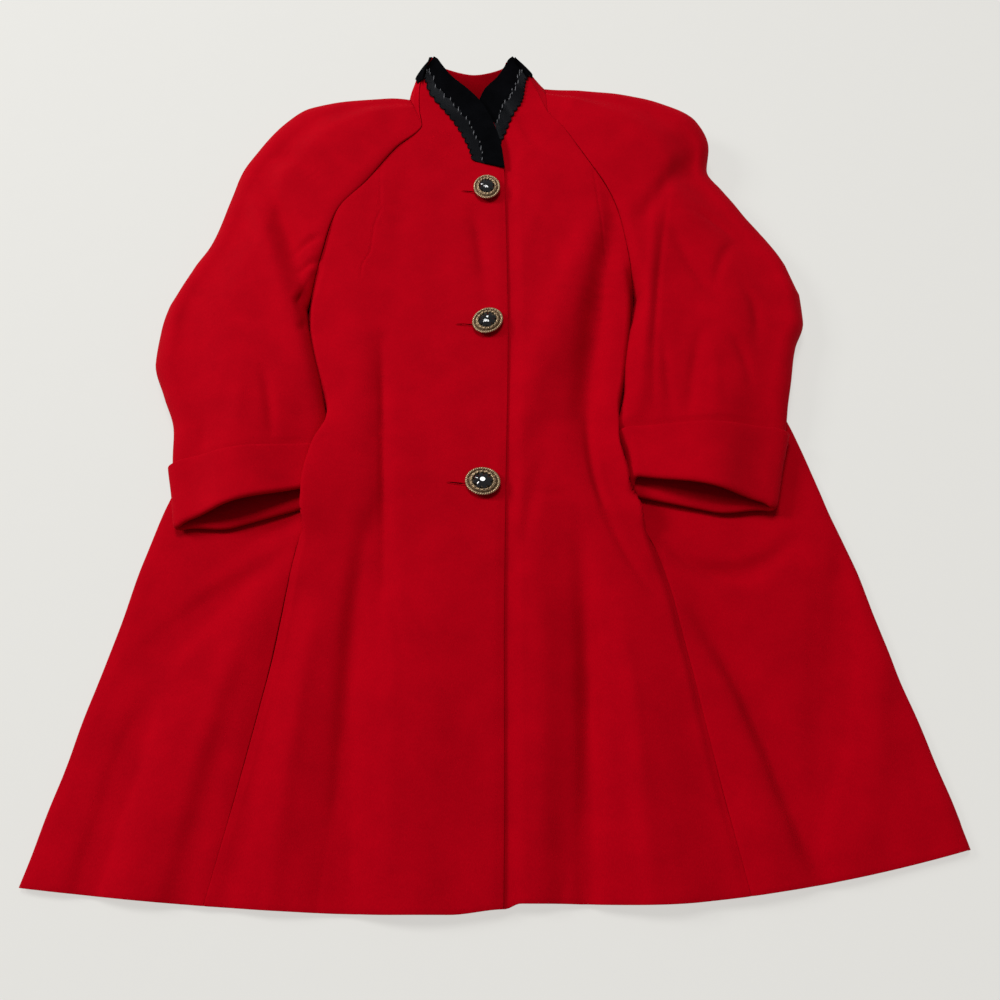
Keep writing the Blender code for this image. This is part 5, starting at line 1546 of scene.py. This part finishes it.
# The braid's cord edge, and the light stitches that hold the velvet's teeth down.
edgeLook = {"cord": 0.7, "winds": 110, "stitch": 0.6, "stitchLong": 5.6, "back": 0.75,
            "forward": 0.35, "aside": 0.10}
for side in ("right", "left"):
    points = bandStrip(side, scallopEdge, scallopEdge, bandLook["braidOver"] - 0.1, 2)[0]
    cord = tubeAlong(points, edgeLook["cord"], 6, winds=edgeLook["winds"], depth=0.14)
    manyTubes("%sBraidCord" % side, [cord], "blackBraid")
    edge = bandStrip(side, toothEdge, toothEdge, bandLook["braidOver"], 2)[0]
    count = toothCount * 2
    columnsAt = np.linspace(14, len(edge) - 10, count).astype(int)
    long = edgeLook["stitchLong"] * (0.8 + 0.35 * np.sin(np.arange(count) * 2.3))
    none = np.zeros(count)
    starts = edge[columnsAt] - np.column_stack([none, edgeLook["back"] * long, none])
    ends = edge[columnsAt] + np.column_stack([edgeLook["aside"] * long, edgeLook["forward"] * long,
                                              none])
    for spots, over in ((starts, bandLook["braidOver"]), (ends, bandLook["velvetOver"])):
        spots[:, 2] = bandSurface(side, spots[:, 0], spots[:, 1]) + over + 0.1
    stitches("%sBandStitches" % side, starts, ends, 0.35, edgeLook["stitch"], "greyThread")
print("bands made")

# Buttonholes: a ring of raised thread round a slit, which runs in under its button.
holeLook = {"half": 1.15, "thread": 0.62, "starts": ((-46.5, 296), (-49.5, 107), (-55.5, -88)),
            "ends": ((-22, 294), (-20, 105), (-24, -91))}
for number, (start, end) in enumerate(zip(holeLook["starts"], holeLook["ends"]), 1):
    start, end = np.array(start, float), np.array(end, float)
    run = (end - start) / np.linalg.norm(end - start)
    out = np.array([-run[1], run[0]])
    turn = np.linspace(0.0, 2.0 * math.pi, 72, endpoint=False)
    middle = 0.5 * (start + end)
    reach = 0.5 * np.linalg.norm(end - start)
    flat = (middle + run * (reach * np.sign(np.cos(turn)) * np.abs(np.cos(turn)) ** 0.6)[:, None]
            + out * (holeLook["half"] * np.sin(turn))[:, None])
    path = np.column_stack([flat, bandSurface("right", flat[:, 0], flat[:, 1]) + 0.15])
    loop = tubeAlong(path, holeLook["thread"], 8, True, 40, 0.18)
    manyTubes("buttonhole%dEdge" % number, [loop], "redWool", True)
    # The slit is a thin sheet in the painted shade finish, standing for the shade inside the opening.
    inner = middle + (flat - middle) * 0.85
    level = bandSurface("right", inner[:, 0], inner[:, 1]) + 0.12
    slit = np.array([np.column_stack([middle + (inner - middle) * size, level])
                     for size in (0.02, 1.0)])
    slit = np.concatenate([slit, slit[::-1] - [0.0, 0.0, 0.3]])
    ringSkin("buttonhole%dSlit" % number, slit, "paintedSlitShade")
print("buttonholes made")

# Buttons: an oval brass rim with a rope edge and two rings of leaves round a black lobed stone.
buttonLook = {"ropeTurns": 46, "ropeRadius": 1.25, "ropeDepth": 0.17, "leaves": 16,
              "leafHeight": 1.0, "leafFrom": 8.6, "leafTo": 13.2, "twist": 2.6, "crown": 2.6,
              "base": 2.5, "around": 320}


# Rings round the Z axis. Each row is a radius and a height, as one number or one for each direction.
def turnedRings(u, rows):
    radius, z = [np.array([np.broadcast_to(row[i], u.shape) for row in rows]) for i in (0, 1)]
    return np.stack([radius * np.cos(u), radius * np.sin(u), z], axis=-1)


# A button's rim: a profile turned round its axis. Its outer edge winds like rope, and the two rings
# inside it rise and fall in pointed leaves that lean opposite ways.
def buttonRim():
    u = np.linspace(0.0, 2.0 * math.pi, buttonLook["around"], endpoint=False)
    edge = buttonWidth / 2.0 - buttonLook["ropeRadius"]
    rows = [(8.4, 2.4)]
    for t in np.linspace(0.0, 1.0, 15):
        radius = buttonLook["leafFrom"] + (buttonLook["leafTo"] - buttonLook["leafFrom"]) * t
        arch = math.sin(math.pi * min(t * 1.15, 1.0)) ** 0.8
        crown = buttonLook["base"] + buttonLook["crown"] * arch
        twist = buttonLook["twist"] * min(t, 1.0 - t)
        wave = np.abs((u * buttonLook["leaves"] / math.pi + twist) % 2.0 - 1.0)
        vein = np.abs((u * buttonLook["leaves"] * 2.0 / math.pi + 2.0 * twist) % 2.0 - 1.0)
        gap = 0.55 * math.exp(-((t - 0.5) / 0.07) ** 2)
        lift = buttonLook["leafHeight"] * math.sin(math.pi * t) ** 0.5
        rows.append((radius, crown - gap + lift * (wave - 0.6) + 0.25 * lift * vein))
    for angle in np.radians(np.linspace(160.0, -140.0, 19)):
        wind = np.cos(buttonLook["ropeTurns"] * u - 2.0 * angle)
        tube = buttonLook["ropeRadius"] * (1.0 + buttonLook["ropeDepth"] * wind)
        rows.append((edge + tube * np.cos(angle), 2.6 + tube * np.sin(angle)))
    return turnedRings(u, rows + [(11.0, 0.4), (0.2, 0.4), (0.2, 2.4)])


# The stone: a small table, eight lobes with a crease between each two, and a steep girdle, shaded
# flat as facets.
def buttonStone():
    u = np.linspace(0.0, 2.0 * math.pi, 32, endpoint=False)
    lobe = np.tile([0.80, 0.95, 1.0, 0.95], 8)
    rows = [(0.1, 7.6, 0.0), (2.4, 7.7, 0.1), (5.0, 7.2, 0.6), (7.8, 6.0, 1.0), (9.5, 4.4, 1.0),
            (9.6, 3.4, 1.0), (8.6, 2.6, 1.0), (0.1, 2.6, 0.0)]
    return turnedRings(u, [(radius * (1.0 + (lobe - 1.0) * share), z) for radius, z, share in rows])


# Turns a button to its oval and place on the coat.
def setButton(points, number):
    x, y, turn = [float(buttonPlaces[name][number]) for name in ("x", "y", "turn")]
    spread = np.linspace(-buttonWidth / 2.0, buttonWidth / 2.0, 9)
    aroundX, aroundY = np.meshgrid(x + spread, y + spread)
    seat = float(bandSurface("right", aroundX.ravel(), aroundY.ravel()).max()) + buttonSeat
    c, s = math.cos(math.radians(turn)), math.sin(math.radians(turn))
    oval = points * [1.0, buttonLength / buttonWidth, 1.0]
    turned = np.stack([oval[..., 0] * c - oval[..., 1] * s, oval[..., 0] * s + oval[..., 1] * c,
                       oval[..., 2]], axis=-1)
    return turned + [x, y, seat]


for number in (1, 2, 3):
    rim = ringSkin("button%dRim" % number, setButton(buttonRim(), number - 1), "antiqueBrass")
    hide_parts("button_%d_rim" % number)
    stone = ringSkin("button%dStone" % number, setButton(buttonStone(), number - 1), "blackGlass",
                     False, False)
    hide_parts("button_%d_stone" % number)
print("buttons made")

# Floor, light and camera. Spots are in metres, and the lamps' power is in watts.
studio = {"floor": (0.18, 0.179, 0.171), "floorGlow": (0.59, 0.582, 0.557), "world": 0.25,
          "top": 69.0, "topSpot": (-0.3, 1.4, 3.2), "side": 84.0, "sideSpot": (-3.0, 1.0, 2.1),
          "boxSize": 1.1, "lens": 32.4, "camera": (0.0018, -0.5045, 0.8791),
          "aim": (0.0018, -0.0946, 0.0)}

mesh = bpy.data.meshes.new("floor")
mesh.from_pydata([(-6, -6, 0), (6, -6, 0), (6, 6, 0), (-6, 6, 0)], [], [(0, 1, 2, 3)])
floor = bpy.data.objects.new("floor", mesh)
scene.collection.objects.link(floor)
floorFinish, tree, coords, shader = newFinish("paleFloor")
speck = stepped(tree, noise(tree, coords, 40.0), 0.3, 0.7)
dim = tuple(c * 0.985 for c in studio["floor"])
tree.links.new(mixed(tree, speck, dim, studio["floor"]), shader.inputs["Base Color"])
shader.inputs["Roughness"].default_value = 0.9
shader.inputs["Specular IOR Level"].default_value = 0.0
shader.inputs["Emission Color"].default_value = (*studio["floorGlow"], 1.0)   # keeps the floor even
shader.inputs["Emission Strength"].default_value = 1.0
mesh.materials.append(floorFinish)

world = bpy.data.worlds.new("studio")
world.use_nodes = True
world.node_tree.nodes["Background"].inputs["Color"].default_value = (1.0, 0.995, 0.985, 1.0)
world.node_tree.nodes["Background"].inputs["Strength"].default_value = studio["world"]
scene.world = world


# A square lamp that shines on the middle of the coat.
def softBox(name, power, spot):
    light = bpy.data.lights.new(name, "AREA")
    light.energy = power
    light.shape = "RECTANGLE"
    light.size = light.size_y = studio["boxSize"]
    box = bpy.data.objects.new(name, light)
    scene.collection.objects.link(box)
    box.location = spot
    box.rotation_euler = (-Vector(spot)).to_track_quat("-Z", "Y").to_euler()


softBox("topBox", studio["top"], studio["topSpot"])
softBox("sideBox", studio["side"], studio["sideSpot"])

lens = bpy.data.cameras.new("camera")
lens.lens = studio["lens"]
lens.sensor_width = 36.0
camera = bpy.data.objects.new("camera", lens)
scene.collection.objects.link(camera)
camera.location = studio["camera"]
aim = Vector(studio["aim"]) - Vector(studio["camera"])
camera.rotation_euler = aim.to_track_quat("-Z", "Y").to_euler()
scene.camera = camera
scene.view_settings.view_transform = "Standard"
